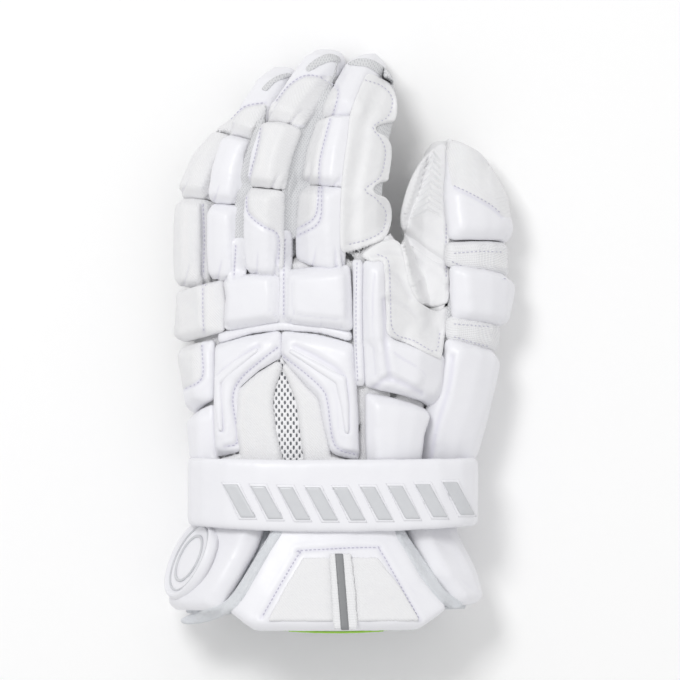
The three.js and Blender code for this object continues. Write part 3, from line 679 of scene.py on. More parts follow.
# A dark sheet that paints the shadow seen through the vent's slots
SHADOW_MESH = Finish("vent_backing", (0.22, 0.23, 0.25), (0.12, 0.12, 0.14),
                     0.9, Effect.KNIT, 1.0 * MM, 0.1 * MM)
VENT_WHITE = Finish("vent_white", (0.92, 0.92, 0.93), LILAC_PAINTED_SHADE,
                    0.6, Effect.KNIT, 0.9 * MM, 0.06 * MM, tint=0.15)
REFLECTIVE = Finish("reflective_grey", (0.25, 0.255, 0.265), (0.20, 0.205, 0.21),
                    0.5, Effect.RIBS, 0.9 * MM, 0.04 * MM, coat=0.1)


# The bench that every sub-assembly works at


@dataclass
class Bench:
    """What every sub-assembly shares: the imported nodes, the plan, the surfaces and the seams so far."""

    nodes: dict[str, Piece]
    plan: PhotoPlan
    surfaces: dict[str, tuple[np.ndarray, list]] = field(default_factory=dict)
    threads: list[tuple[np.ndarray, tuple[str, ...]]] = field(default_factory=list)

    def keep(self, obj: Piece, cloth: Cloth, *stands_for: str) -> None:
        """Gives a piece its material, its body and its place in the table.

        Args:
            obj: The finished piece.
            cloth: What it is made of.
            *stands_for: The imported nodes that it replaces.
        """
        if not obj.data.materials:
            obj.data.materials.append(FINISHES[cloth].material())
        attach(obj, ROOT)
        if stands_for:
            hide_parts(*stands_for)
        self.note(obj)
        LOG.info("%s: %d points, %s", obj.name, len(obj.data.vertices), cloth.value)

    def note(self, obj: Piece) -> None:
        """Keeps a piece's surface for what is laid or sewn on it."""
        points = np.zeros(len(obj.data.vertices) * 3)
        obj.data.vertices.foreach_get("co", points)
        faces = [tuple(face.vertices) for face in obj.data.polygons]
        self.surfaces[obj.name] = (points.reshape(-1, 3), faces)

    def edge(self, pixels: Pixels) -> np.ndarray:
        """Rounds a closed outline that is drawn in pixels."""
        return curved(self.plan.line(pixels), loop=True)

    def tree(self, names: Iterable[str]) -> BVHTree:
        """Joins the surfaces of some pieces for ray casts.

        Args:
            names: The pieces' names.

        Returns:
            One search tree.
        """
        points, faces, start = [], [], 0
        for name in names:
            own, own_faces = self.surfaces[name]
            points.append(own)
            faces.extend(tuple(vertex + start for vertex in face) for face in own_faces)
            start += len(own)
        return BVHTree.FromPolygons(np.vstack(points).tolist(), faces)


RAY_HEIGHT = 300 * MM
MISS_HEIGHT = 50 * MM


def dropped(tree: BVHTree, spots: np.ndarray) -> tuple[np.ndarray, np.ndarray]:
    """Drops plan points onto a surface from above.

    Args:
        tree: The surface.
        spots: One row of x and y for each point.

    Returns:
        The places on the surface and the surface's normals there. A point that misses takes the
        height of the nearest part of the surface.
    """
    places, normals = [], []
    for x, y in spots:
        hit, normal, _, _ = tree.ray_cast(Vector((x, y, RAY_HEIGHT)), Vector((0, 0, -1)))
        if hit is None:
            hit, normal, _, _ = tree.find_nearest(Vector((x, y, MISS_HEIGHT)))
            hit = Vector((x, y, hit.z))
        places.append(hit)
        normals.append(normal)
    return np.array(places), np.array(normals)


@dataclass(frozen=True)
class PadShape:
    """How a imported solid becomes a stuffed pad.

    The grain is the size of the faces. The rounds and the back smooth the form, the puff and the crown
    fill it, the folds make it uneven, and the pinch presses creases into its end.
    """

    grain: float = 0.9 * MM
    rounds: int = 16
    back: float = 0.25
    puff: float = 0.7 * MM
    crown: float = 1.2 * MM
    folds: float = 0.25 * MM
    fold_size: float = 11 * MM
    fill: float = 0.7
    pinch: float = 0.0


@dataclass(frozen=True)
class Seam:
    """A sewn line on a pad, drawn in the photograph's pixels."""

    line: Pixels
    depth: float = 0.7 * MM
    width: float = 1.2 * MM
    swell: float = 0.35
    sewn: bool = True


@dataclass(frozen=True)
class Block:
    """A part of a pad that stands higher, with sloped sides."""

    outline: Pixels
    height: float = 1.2 * MM
    slope: float = 3.0 * MM


CREASE_PLACES = (-0.82, -0.5, 0.34, 0.66, 0.9)
CREASE_WIDTH = 1.1 * MM
SWELL_WIDTH = 2.6 * MM
CREASE_START = 0.35
HOLLOW = 0.05 * MM
# Strengths of the shade painted into the colour along seam valleys and in the hollows of the surface
SEAM_PAINTED_SHADE = 0.6
HOLLOW_PAINTED_SHADE = 0.5


def pinched(mesh: SoftMesh, depth: float, seed: float) -> None:
    """Presses short tapering creases into a roll's end nearest the wrist.

    Args:
        mesh: The roll.
        depth: Depth of the creases at the roll's edge.
        seed: A number that sets the creases' places.
    """
    plan = mesh.points[:, :2] - mesh.points[:, :2].mean(axis=0)
    _, _, axes = np.linalg.svd(plan, full_matrices=False)
    along, across = (axes if abs(axes[0, 1]) > abs(axes[1, 1]) else axes[::-1])
    along = along * np.sign(along[1])
    run, side = plan @ along, plan @ across
    reach, half = np.abs(run).max(), np.abs(side).max()
    fade = np.clip((-run / reach - CREASE_START) / (1 - CREASE_START), 0, 1)
    normals = mesh.normals()
    shape = np.zeros(len(plan))
    for number, place in enumerate(CREASE_PLACES):
        lean = 0.25 * math.sin(seed + 2.1 * number)
        middle = (place + 0.07 * math.sin(seed * 1.3 + number)) * half + lean * (run + reach)
        strength = 0.75 + 0.25 * math.cos(seed + number)
        shape += strength * (np.exp(-((side - middle) / CREASE_WIDTH) ** 2)
                             - 0.35 * np.exp(-((side - middle) / SWELL_WIDTH) ** 2))
    mesh.points -= normals * (depth * shape * fade * np.clip(normals[:, 2] + 0.4, 0, 1))[:, None]


def creases(mesh: SoftMesh) -> np.ndarray:
    """Says how hollow the surface is at each point, from 0 to 1, for the shade painted into folds."""
    bend = ((mesh.averaged(mesh.points) - mesh.points) * mesh.normals()).sum(axis=1)
    return np.clip(bend / HOLLOW, 0, 1)


def stuffed(bench: Bench, node: str, cloth: Cloth, shape: PadShape = PadShape(),
            seams: Sequence[Seam] = (), twill: Sequence[Pixels] = (),
            blocks: Sequence[Block] = ()) -> Piece:
    """Makes the stuffed form of a packed pad.

    Args:
        bench: What the sub-assemblies share.
        node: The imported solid's name.
        cloth: The pad's cloth.
        shape: How soft it is.
        seams: Sewn lines that draw its cloth in.
        twill: Outlines, in pixels, of the parts that are twill on a smooth pad.
        blocks: Parts that stand higher.

    Returns:
        The pad, kept on the bench.
    """
    obj = remeshed(bench.nodes[node], "soft_" + node, shape.grain)
    mesh = SoftMesh(obj)
    mesh.relax(shape.rounds, shape.back)
    mesh.crown(shape.crown)
    mesh.push(shape.puff)
    seed = sum(ord(letter) for letter in node) * 0.37
    mesh.push(shape.folds * waves(mesh.points, shape.fold_size, seed))
    for block in blocks:
        depth = signed_depth(mesh.points[:, :2], bench.edge(block.outline))
        rise = eased(np.clip(depth / block.slope, 0, 1))
        upper = np.clip(mesh.normals()[:, 2] / 0.5, 0, 1)
        mesh.points += UP * (block.height * rise * upper)[:, None]
    if shape.pinch:
        pinched(mesh, shape.pinch, seed)
    drawn = np.zeros(len(mesh.points))
    for seam in seams:
        line = curved(bench.plan.line(seam.line))
        drawn = np.maximum(drawn, mesh.seam(line, seam.depth, seam.width, seam.swell))
        if seam.sewn:
            bench.threads.append((line, (obj.name,)))
    mesh.relax(1)
    mesh.write()
    # Paints shade into the colour along the seams' valleys and in the form's hollows
    mesh.mark("seam", np.maximum(SEAM_PAINTED_SHADE * drawn, HOLLOW_PAINTED_SHADE * creases(mesh)))
    if twill:
        depth = np.full(len(mesh.points), -1.0)
        for outline in twill:
            depth = np.maximum(depth, signed_depth(mesh.points[:, :2], bench.plan.line(outline)))
        mesh.mark("twill", np.clip(depth / MM, -9, 9))
    bench.keep(obj, cloth, node)
    return obj


# Cloth laid on the pads


@dataclass(frozen=True)
class Laid:
    """How a flat cloth lies on what carries it.

    The lift is the gap under it, the rim is how far in from the edge it thins, the grain is the size of
    the faces, the bridge says how far it spans hollows, and the ripple makes it uneven.
    """

    thickness: float = 0.9 * MM
    lift: float = 0.12 * MM
    rim: float = 0.8 * MM
    grain: float = 1.2 * MM
    bridge: int = 10
    ripple: float = 0.12 * MM


HOLE_REACH = 6 * MM
ROW_SHARE = 0.866


def beside_hole(points: np.ndarray, hole: np.ndarray) -> np.ndarray:
    """Says which points lie so near a hole that its edge counts for them."""
    return np.linalg.norm(points - hole.mean(axis=0), axis=1) < HOLE_REACH


def net(outline: np.ndarray, grain: float,
        holes: Sequence[np.ndarray] = ()) -> tuple[np.ndarray, np.ndarray]:
    """Fills an outline with an even net of triangles.

    Args:
        outline: The edge in plan, not closed.
        grain: Size of the triangles.
        holes: The edges of holes.

    Returns:
        The points, with the edges first, and the triangles that face up.
    """
    loops = [resampled(closed(outline), grain)[:-1], *holes]
    low, high = loops[0].min(axis=0), loops[0].max(axis=0)
    rows = np.arange(low[1], high[1], grain * ROW_SHARE)
    columns = np.arange(low[0], high[0] + grain, grain)
    grid = np.array([(x + (number % 2) * grain / 2, y) for number, y in enumerate(rows) for x in columns])
    keep = signed_depth(grid, loops[0]) > 0.55 * grain
    for hole in holes:
        chosen = np.flatnonzero(keep & beside_hole(grid, hole))
        if len(chosen):
            keep[chosen] = signed_depth(grid[chosen], hole) < -0.35 * grain
    edges, start = [], 0
    for loop in loops:
        count = len(loop)
        edges.extend((start + step, start + (step + 1) % count) for step in range(count))
        start += count
    spots = np.vstack([*loops, grid[keep]])
    made = geometry.delaunay_2d_cdt([Vector(spot) for spot in spots], edges, [], 0, 1e-8)
    spots, faces = np.array([tuple(spot) for spot in made[0]]), np.array(made[2])
    middles = spots[faces].mean(axis=1)
    good = inside(middles, loops[0])
    for hole in holes:
        near = np.flatnonzero(beside_hole(middles, hole))
        good[near] &= ~inside(middles[near], hole)
    faces = faces[good]
    first, second, third = (spots[faces[:, corner]] for corner in range(3))
    turn = np.cross(second - first, third - first)
    faces[turn < 0] = faces[turn < 0][:, ::-1]
    used = np.unique(faces)
    fresh = np.full(len(spots), -1)
    fresh[used] = np.arange(len(used))
    return spots[used], fresh[faces]


def corner_normals(points: np.ndarray, faces: np.ndarray) -> np.ndarray:
    """Works out a normal at each point of a net."""
    first, second, third = (points[faces[:, corner]] for corner in range(3))
    face_normals = np.cross(second - first, third - first)
    out = np.zeros_like(points)
    for corner in range(3):
        np.add.at(out, faces[:, corner], face_normals)
    return out / np.linalg.norm(out, axis=1).clip(1e-12)[:, None]


def laid(bench: Bench, name: str, outline: np.ndarray, carriers: Sequence[str], cloth: Cloth,
         how: Laid = Laid(), holes: Sequence[np.ndarray] = (), stands_for: Sequence[str] = (),
         seams: Sequence[Seam] = (), finish: Finish | None = None) -> Piece:
    """Lays a cut cloth on the pieces under it.

    Args:
        bench: What the sub-assemblies share.
        name: The piece's name.
        outline: Its edge in plan, not closed.
        carriers: The pieces that it lies on.
        cloth: What it is made of.
        how: Its thickness and how it lies.
        holes: The edges of holes.
        stands_for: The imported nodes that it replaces.
        seams: Sewn lines.
        finish: Its finish, where it isn't the cloth's own.

    Returns:
        The cloth, kept on the bench.
    """
    spots, faces = net(outline, how.grain, holes)
    hits, _ = dropped(bench.tree(carriers), spots)
    sides = np.vstack([faces[:, [0, 1]], faces[:, [1, 2]], faces[:, [2, 0]]])
    ends, uses = np.unique(np.sort(sides, axis=1), axis=0, return_counts=True)
    ties = np.bincount(ends.ravel(), minlength=len(spots)).clip(1)
    heights = hits[:, 2].copy()
    for _ in range(how.bridge):
        mean = (np.bincount(ends[:, 0], heights[ends[:, 1]], len(spots))
                + np.bincount(ends[:, 1], heights[ends[:, 0]], len(spots))) / ties
        heights = np.maximum(hits[:, 2], mean)
    base = np.column_stack([spots, heights])
    normals = corner_normals(base, faces)
    away = distance_to(spots, closed(outline))
    for hole in holes:
        near = np.flatnonzero(beside_hole(spots, hole))
        away[near] = np.minimum(away[near], distance_to(spots[near], closed(hole)))
    share = 1 - np.clip(away / how.rim, 0, 1)
    rise = how.thickness * (0.3 + 0.7 * np.sqrt(np.clip(1 - share ** 2, 0, 1)))
    rise = rise + how.ripple * waves(base, 8 * MM, len(name)) * (1 - share)
    top, under = base + normals * (how.lift + rise)[:, None], base + normals * how.lift
    count = len(spots)
    edge_set = {(int(a), int(b)) for a, b in ends[uses == 1]}
    rim = []
    for face in faces:
        for start, end in zip(face, np.roll(face, -1)):
            if (min(start, end), max(start, end)) in edge_set:
                rim.append((start, start + count, end + count, end))
    both = [*map(tuple, faces), *(tuple(face[::-1] + count) for face in faces), *rim]
    obj = mesh_object(name, np.vstack([top, under]), both)
    mesh = SoftMesh(obj)
    drawn = np.zeros(len(mesh.points))
    for seam in seams:
        line = curved(bench.plan.line(seam.line))
        drawn = np.maximum(drawn, mesh.seam(line, seam.depth, seam.width, seam.swell))
        if seam.sewn:
            bench.threads.append((line, (name,)))
    mesh.write()
    # Paints shade into the colour along the seams' valleys
    mesh.mark("seam", SEAM_PAINTED_SHADE * drawn)
    if finish:
        obj.data.materials.append(finish.material())
    bench.keep(obj, cloth, *stands_for)
    return obj


def around(first: np.ndarray, second: np.ndarray, sides: int) -> list[np.ndarray]:
    """Gives the directions from the middle of a ring to its points, as mixes of two directions."""
    turns = [2 * math.pi * step / sides for step in range(sides)]
    return [math.cos(turn) * first + math.sin(turn) * second for turn in turns]


def tube_faces(start: int, rings: int, sides: int, flipped: bool = False) -> list[tuple[int, ...]]:
    """Joins rings of points into a tube with closed ends.

    Args:
        start: Number of the first ring's first point.
        rings: How many rings there are.
        sides: How many points a ring has.
        flipped: True where the rings turn the other way round.

    Returns:
        The faces, which look outwards.
    """
    faces = []
    for ring in range(rings - 1):
        for step in range(sides):
            here, beside = start + ring * sides + step, start + ring * sides + (step + 1) % sides
            corners = (here, here + sides, beside + sides, beside)
            faces.append((here, *corners[:0:-1]) if flipped else corners)
    last = start + (rings - 1) * sides
    for end in (tuple(range(start, start + sides)), tuple(range(last, last + sides))[::-1]):
        faces.append(end[::-1] if flipped else end)
    return faces


def rolled(bench: Bench, name: str, line: np.ndarray, carriers: Sequence[str], cloth: Cloth,
           radius: float, sink: float, finish: Finish) -> Piece:
    """Runs a rolled edge along a line.

    Args:
        bench: What the sub-assemblies share.
        name: The piece's name.
        line: Its run in plan.
        carriers: The pieces that it lies on.
        cloth: What it is made of.
        radius: Radius of the roll.
        sink: How far its middle lies below the surface.
        finish: Its finish.

    Returns:
        The roll, kept on the bench.
    """
    sides, end_steps = 10, 3
    places, normals = dropped(bench.tree(carriers), resampled(line, max(radius, 0.9 * MM)))
    for _ in range(3):
        places[1:-1] = (places[:-2] + 2 * places[1:-1] + places[2:]) / 4
    places = places - normals * sink
    runs = np.gradient(places, axis=0)
    runs /= np.linalg.norm(runs, axis=1)[:, None]
    sideways = np.cross(runs, normals)
    sideways /= np.linalg.norm(sideways, axis=1)[:, None]
    upward = np.cross(sideways, runs)
    steps = np.arange(len(places))
    taper = np.clip(np.minimum(steps, steps[::-1]) / end_steps, 0, 1)
    taper = 0.25 + 0.75 * np.sqrt(1 - (1 - taper) ** 2)
    points = [place + radius * size * outward
              for place, side, up, size in zip(places, sideways, upward, taper)
              for outward in around(side, up, sides)]
    obj = mesh_object(name, np.array(points), tube_faces(0, len(places), sides))
    obj.data.materials.append(finish.material())
    bench.keep(obj, cloth)
    return obj


# Places along a stitch and its thickness there, as shares of its length and of the thread's radius
STITCH = ((-0.5, 0.35), (-0.36, 0.95), (0.0, 1.1), (0.36, 0.95), (0.5, 0.35))


def sewn(bench: Bench, name: str, pitch: float = 2.3 * MM, length: float = 1.5 * MM,
         radius: float = 0.26 * MM) -> Piece:
    """Sews the seams that the bench holds, stitch by stitch.

    Args:
        bench: What the sub-assemblies share. Its list of seams is emptied.
        name: The piece's name.
        pitch: Distance from one stitch to the next.
        length: Length of a stitch.
        radius: Half the thread's thickness.

    Returns:
        All the stitches as one piece.
    """
    sides, steepest = 5, 2.5
    points, faces = [], []
    trees = {carriers: bench.tree(carriers) for _, carriers in bench.threads}
    for line, carriers in bench.threads:
        spots = resampled(line, pitch)
        places, normals = dropped(trees[carriers], spots)
        for number in range(len(spots) - 1):
            run = places[number + 1] - places[number]
            if abs(run[2]) > steepest * pitch:
                continue
            run = run / max(np.linalg.norm(run), 1e-9)
            normal = normals[number]
            side = np.cross(run, normal)
            side /= max(np.linalg.norm(side), 1e-9)
            middle = places[number] + normal * radius * 0.35
            start = len(points)
            ring = around(side, normal, sides)
            for share, size in STITCH:
                arch = normal * radius * (0.5 - 2 * share * share)
                points.extend(middle + run * share * length + arch + radius * size * outward
                              for outward in ring)
            faces.extend(tube_faces(start, len(STITCH), sides, flipped=True))
    bench.threads.clear()
    obj = mesh_object(name, np.array(points), faces)
    obj.data.materials.append(THREAD.material())
    bench.keep(obj, Cloth.WEBBING)
    return obj


# Sub-assemblies


FINGERS = ("index", "middle", "ring", "little")


def finger_pieces(finger: str) -> list[str]:
    """Names a finger's sleeve and its three pads."""
    return [f"soft_{finger}_{part}" for part in ("sleeve", "pad_base", "pad_mid", "pad_tip")]


@dataclass
class Shell:
    """The sewn skins that the pads lie on."""

    bench: Bench
    skins: tuple[tuple[str, Cloth, float], ...] = (
        ("palm", Cloth.SUEDE, 1.6 * MM), ("hand_back", Cloth.TWILL, 1.55 * MM),
        ("thumb_back", Cloth.KNIT, 1.3 * MM), ("thumb_inner", Cloth.SUEDE, 1.25 * MM),
        ("index_sleeve", Cloth.KNIT, 1.3 * MM), ("middle_sleeve", Cloth.KNIT, 1.3 * MM),
        ("ring_sleeve", Cloth.KNIT, 1.3 * MM), ("little_sleeve", Cloth.KNIT, 1.3 * MM))

    def build(self) -> None:
        """Makes each skin as a soft sewn shell."""
        for node, cloth, grain in self.skins:
            obj = remeshed(self.bench.nodes[node], "soft_" + node, grain)
            mesh = SoftMesh(obj)
            mesh.relax(6, 0.4)
            mesh.write()
            # Paints shade into the colour in the skin's hollows
            mesh.mark("seam", HOLLOW_PAINTED_SHADE * creases(mesh))
            self.bench.keep(obj, cloth, node)
            obj.data.calc_loop_triangles()


@dataclass
class FingerPads:
    """The three stuffed rolls on the back of each finger, the mesh between fingers and the mesh caps."""

    bench: Bench
    shape: PadShape = PadShape(grain=0.85 * MM, rounds=11, puff=1.0 * MM, crown=1.0 * MM, pinch=3.0 * MM,
                               folds=0.35 * MM)
    seams: Table = (
        ("little_pad_base", (((203, 205), (204, 240), (203, 275)),)),
        ("ring_pad_tip", (((232, 118), (245, 106), (266, 102)),)),
        ("middle_pad_base", (((247, 190), (248, 212), (262, 226), (278, 235), (279, 262)),)),
        ("middle_pad_mid", (((262, 121), (257, 150), (247, 186)),)),
        ("middle_pad_tip", (((277, 100), (290, 84), (306, 75), (325, 77)),)),
        ("index_pad_base", (((319, 188), (315, 217), (295, 230)), ((322, 188), (319, 222), (297, 236)))),
        ("index_pad_mid", (((330, 120), (320, 160), (319, 186)),)),
        ("index_pad_tip", (((322, 78), (338, 90), (332, 118)),)),
    )
    twill: Table = (
        ("middle_pad_base", (((247, 186), (248, 212), (278, 235), (279, 270), (310, 270), (310, 186)),)),
        ("middle_pad_mid", (((262, 112), (257, 150), (247, 192), (310, 192), (310, 112)),)),
        ("middle_pad_tip", (((250, 125), (277, 100), (290, 84), (306, 75), (340, 75), (340, 125)),)),
        ("index_pad_base", (((319, 184), (315, 217), (295, 230), (280, 230), (280, 184)),)),
        ("index_pad_mid", (((330, 112), (320, 160), (319, 194), (280, 194), (280, 112)),)),
        ("index_pad_tip", (((310, 78), (322, 78), (338, 90), (332, 125), (290, 125), (290, 78)),)),
        ("ring_pad_tip", (((222, 125), (232, 118), (245, 106), (266, 102), (266, 140), (222, 140)),)),
    )
    gussets: tuple[tuple[str, Pixels, tuple[float, ...]], ...] = (
        ("gusset_ring", ((265, 108), (257, 133), (250, 160), (244, 185), (241, 215), (239, 243)),
         (4.0, 10.0, 14.0, 15.0, 14.0, 12.0)),
        ("gusset_middle", ((336, 62), (322, 94), (312, 120), (303, 150), (296, 190), (290, 234)),
         (6.0, 15.0, 22.0, 25.0, 24.0, 18.0)),
    )
    caps: tuple[tuple[str, Pixels], ...] = (
        ("ring", ((262, 88), (268, 81), (277, 75), (288, 72), (292, 75), (284, 78), (275, 82), (267, 90))),
        ("middle", ((306, 67), (316, 58), (328, 53), (338, 55), (340, 61), (331, 61), (320, 65), (309, 71))),
        ("index", ((348, 63), (357, 58), (369, 58), (380, 63), (389, 71), (394, 81), (389, 84), (380, 75),
                   (368, 67), (356, 65))),
    )

    def build(self) -> None:
        """Makes the twelve rolls, the gussets and the caps."""
        seams, twill = dict(self.seams), dict(self.twill)
        for finger in FINGERS:
            cloth = Cloth.TWILL if finger == "little" else Cloth.SMOOTH
            for part in ("base", "mid", "tip"):
                node = f"{finger}_pad_{part}"
                lines = [Seam(line) for line in seams.get(node, ())]
                shape = replace(self.shape, pinch=0.0) if node == "little_pad_tip" else self.shape
                stuffed(self.bench, node, cloth, shape, lines, twill.get(node, ()))
        for name, middle, widths in self.gussets:
            fingers = ("ring", "middle") if name == "gusset_ring" else ("middle", "index")
            self.gusset(name, middle, widths, fingers)
        for finger, outline in self.caps:
            laid(self.bench, finger + "_cap", self.bench.edge(outline),
                 (f"soft_{finger}_pad_tip", f"soft_{finger}_sleeve"), Cloth.KNIT,
                 Laid(thickness=0.35 * MM, grain=0.7 * MM, bridge=2, ripple=0.0))
        sewn(self.bench, "finger_stitches")

    def gusset(self, name: str, middle: Pixels, widths: Sequence[float], fingers: Sequence[str]) -> None:
        """Lays the mesh strip that spans two fingers.

        Args:
            name: The strip's name.
            middle: Its middle line, in pixels.
            widths: Its width at each point of the line, in pixels.
            fingers: The two fingers.
        """
        line = np.array(middle, float)
        run = np.gradient(line, axis=0)
        run /= np.linalg.norm(run, axis=1)[:, None]
        side = np.column_stack([-run[:, 1], run[:, 0]]) * (np.array(widths) / 2)[:, None]
        edge = np.vstack([line + side, (line - side)[::-1]])
        carriers = [piece for finger in fingers for piece in finger_pieces(finger)]
        laid(self.bench, name, self.bench.edge(edge), carriers, Cloth.KNIT,
             Laid(thickness=0.6 * MM, grain=1.0 * MM, bridge=14, lift=-1.4 * MM))


@dataclass
class HandPads:
    """The pads on the back of the hand, with their sewn panels and raised blocks."""

    bench: Bench
    pads: tuple[tuple[str, Cloth], ...] = (
        ("knuckle_pad_outer", Cloth.TWILL), ("knuckle_pad_middle", Cloth.SMOOTH),
        ("knuckle_pad_index", Cloth.SMOOTH), ("outer_pad_upper", Cloth.SMOOTH),
        ("outer_pad_lower", Cloth.SMOOTH), ("back_pad_left", Cloth.SMOOTH), ("back_pad_right", Cloth.SMOOTH),
        ("radial_pad_upper", Cloth.SMOOTH), ("radial_pad_lower", Cloth.SMOOTH))
    seams: Table = (
        ("knuckle_pad_outer", (((203, 285), (203, 310), (204, 334)),)),
        ("knuckle_pad_middle", (((206, 285), (206, 310), (207, 332)),)),
        ("outer_pad_upper", (((202, 346), (202, 378), (183, 390)),)),
        ("back_pad_left", (((277, 348), (258, 363), (240, 380), (233, 400), (238, 440), (225, 447)),)),
        ("back_pad_right", (((281, 355), (304, 372), (323, 390), (328, 405), (335, 445), (358, 455)),)),
    )
    bends: Table = (
        ("radial_pad_upper", (((384, 300), (386, 350), (390, 378)), ((373, 388), (390, 379), (421, 393)))),
        ("back_pad_left", (((258, 346), (237, 362), (219, 380), (222, 430)),)),
        ("back_pad_right", (((295, 346), (322, 360), (345, 380), (348, 430)),)),
    )
    blocks: Table = (
        ("knuckle_pad_middle", (((226, 281), (264, 276), (272, 282), (270, 316), (262, 320), (228, 324),
                                 (222, 318), (221, 288)),)),
        ("knuckle_pad_index", (((296, 277), (340, 272), (348, 280), (348, 316), (340, 320), (300, 316),
                                (292, 310), (291, 284)),)),
        ("radial_pad_upper", (((374, 272), (382, 276), (384, 340), (424, 372), (418, 388), (392, 376),
                               (376, 378), (372, 320)),)),
    )
    channels: tuple[tuple[str, Pixels, Pixels], ...] = (
        ("channel_middle", ((280, 234), (292, 234), (293, 262), (289, 280), (289, 321), (279, 323),
                            (279, 280), (278, 262)), ((285, 240), (284, 268), (284, 295), (284, 318))),
        ("channel_ring", ((232, 240), (246, 240), (246, 262), (244, 282), (228, 284), (230, 262)),
         ((236, 246), (235, 262), (234, 278))),
    )
    twill: Table = (
        ("outer_pad_upper", (((150, 330), (202, 340), (202, 378), (183, 390), (150, 390)),)),
        ("knuckle_pad_middle", (((190, 260), (206, 260), (206, 340), (190, 340)),)),
    )
    binding_seam: Pixels = ((357, 264), (356, 300), (356, 345), (358, 384))

    def build(self) -> None:
        """Makes the pads, the ridges, the insets, the channels between the pads and the sewn lines."""
        seams, bends = dict(self.seams), dict(self.bends)
        blocks, twill = dict(self.blocks), dict(self.twill)
        for node, cloth in self.pads:
            lines = [Seam(line) for line in seams.get(node, ())]
            lines += [Seam(line, depth=0.8 * MM, width=1.5 * MM, sewn=False) for line in bends.get(node, ())]
            pinch = 1.6 * MM if node.startswith("knuckle") else 0.0
            shape = PadShape(pinch=pinch, rounds=10, puff=1.0 * MM)
            raised = [Block(outline) for outline in blocks.get(node, ())]
            stuffed(self.bench, node, cloth, shape, lines, twill.get(node, ()), raised)
        ridge = PadShape(grain=0.5 * MM, rounds=1, puff=0.45 * MM, crown=0.0, folds=0.0, fill=0.9)
        for node in ("back_ridge_left", "back_ridge_right"):
            stuffed(self.bench, node, Cloth.SMOOTH, ridge)
        thin = PadShape(grain=0.8 * MM, rounds=6, puff=0.2 * MM, crown=0.2 * MM, folds=0.15 * MM, fill=0.3)
        for node, puff in (("back_inset_left", 2.2), ("back_inset_right", 1.6), ("flex_band", 1.3)):
            stuffed(self.bench, node, Cloth.SMOOTH if node == "flex_band" else Cloth.TWILL,
                    replace(thin, puff=puff * MM))
        carriers = ["soft_hand_back", "soft_knuckle_pad_middle", "soft_knuckle_pad_index"]
        carriers += [f"soft_{finger}_{part}" for finger in FINGERS[:3] for part in ("sleeve", "pad_base")]
        for name, outline, seam in self.channels:
            laid(self.bench, name, self.bench.edge(outline), carriers, Cloth.SMOOTH,
                 Laid(thickness=0.9 * MM, rim=0.6 * MM, bridge=14, lift=-1.2 * MM),
                 seams=(Seam(seam, depth=0.3 * MM, width=0.8 * MM),))
        stuffed(self.bench, "binding_strip", Cloth.SMOOTH,
                PadShape(grain=0.8 * MM, rounds=5, puff=0.9 * MM, crown=0.0, folds=0.15 * MM, fill=0.3))
        line = self.bench.plan.line(self.binding_seam)
        self.bench.threads.append((line, ("soft_binding_strip", "soft_hand_back")))
        sewn(self.bench, "hand_stitches")


@dataclass
class Vent:
    """The mesh window in the middle of the hand, a cloth with rows of long slots over a dark sheet of painted
    shadow.
    """

    bench: Bench
    edge: Pixels = ((280, 352), (286, 364), (293, 385), (299, 410), (303, 436), (304, 461), (281, 461),
                    (276, 436), (272, 414), (271, 390), (275, 368))
    # The slots' size and spacing, across and along, in pixels
    slot: tuple[float, float] = (1.9, 3.7)
    pitch: tuple[float, float] = (5.8, 4.1)
    margin: float = 1.1 * MM

    def slots(self, edge: np.ndarray) -> list[np.ndarray]:
        """Places the slots in staggered rows.

        Args:
            edge: The window's edge in plan.

        Returns:
            The edge of each slot.
        """
        across, along = self.bench.plan.scale()
        half = np.array([self.slot[0] * across / 2, self.slot[1] * along / 2])
        step = np.array([self.pitch[0] * across, self.pitch[1] * along])
        low, high = edge.min(axis=0), edge.max(axis=0)
        turns = np.linspace(0, 2 * math.pi, 10, endpoint=False)
        ring = np.column_stack([np.cos(turns), np.sign(np.sin(turns)) * np.abs(np.sin(turns)) ** 0.6]) * half
        out = []
        for row, y in enumerate(np.arange(low[1], high[1], step[1])):
            for x in np.arange(low[0] + (row % 2) * step[0] / 2, high[0], step[0]):
                middle = np.array([[x, y]])
                if signed_depth(middle, edge)[0] > self.margin:
                    out.append(middle + ring)
        return out

    def build(self) -> None:
        """Makes the dark sheet of painted shadow and the slotted cloth."""
        edge = self.bench.edge(self.edge)
        carriers = ("soft_hand_back",)
        # The dark sheet under the slots is painted shadow
        laid(self.bench, "vent_backing", edge, carriers, Cloth.KNIT, Laid(thickness=0.25 * MM, lift=0.1 * MM),
             finish=SHADOW_MESH)
        laid(self.bench, "soft_mesh_vent", edge, carriers, Cloth.KNIT,
             Laid(thickness=0.7 * MM, lift=0.75 * MM, rim=0.35 * MM, grain=0.7 * MM, ripple=0.05 * MM),
             self.slots(edge), ("mesh_vent",), finish=VENT_WHITE)


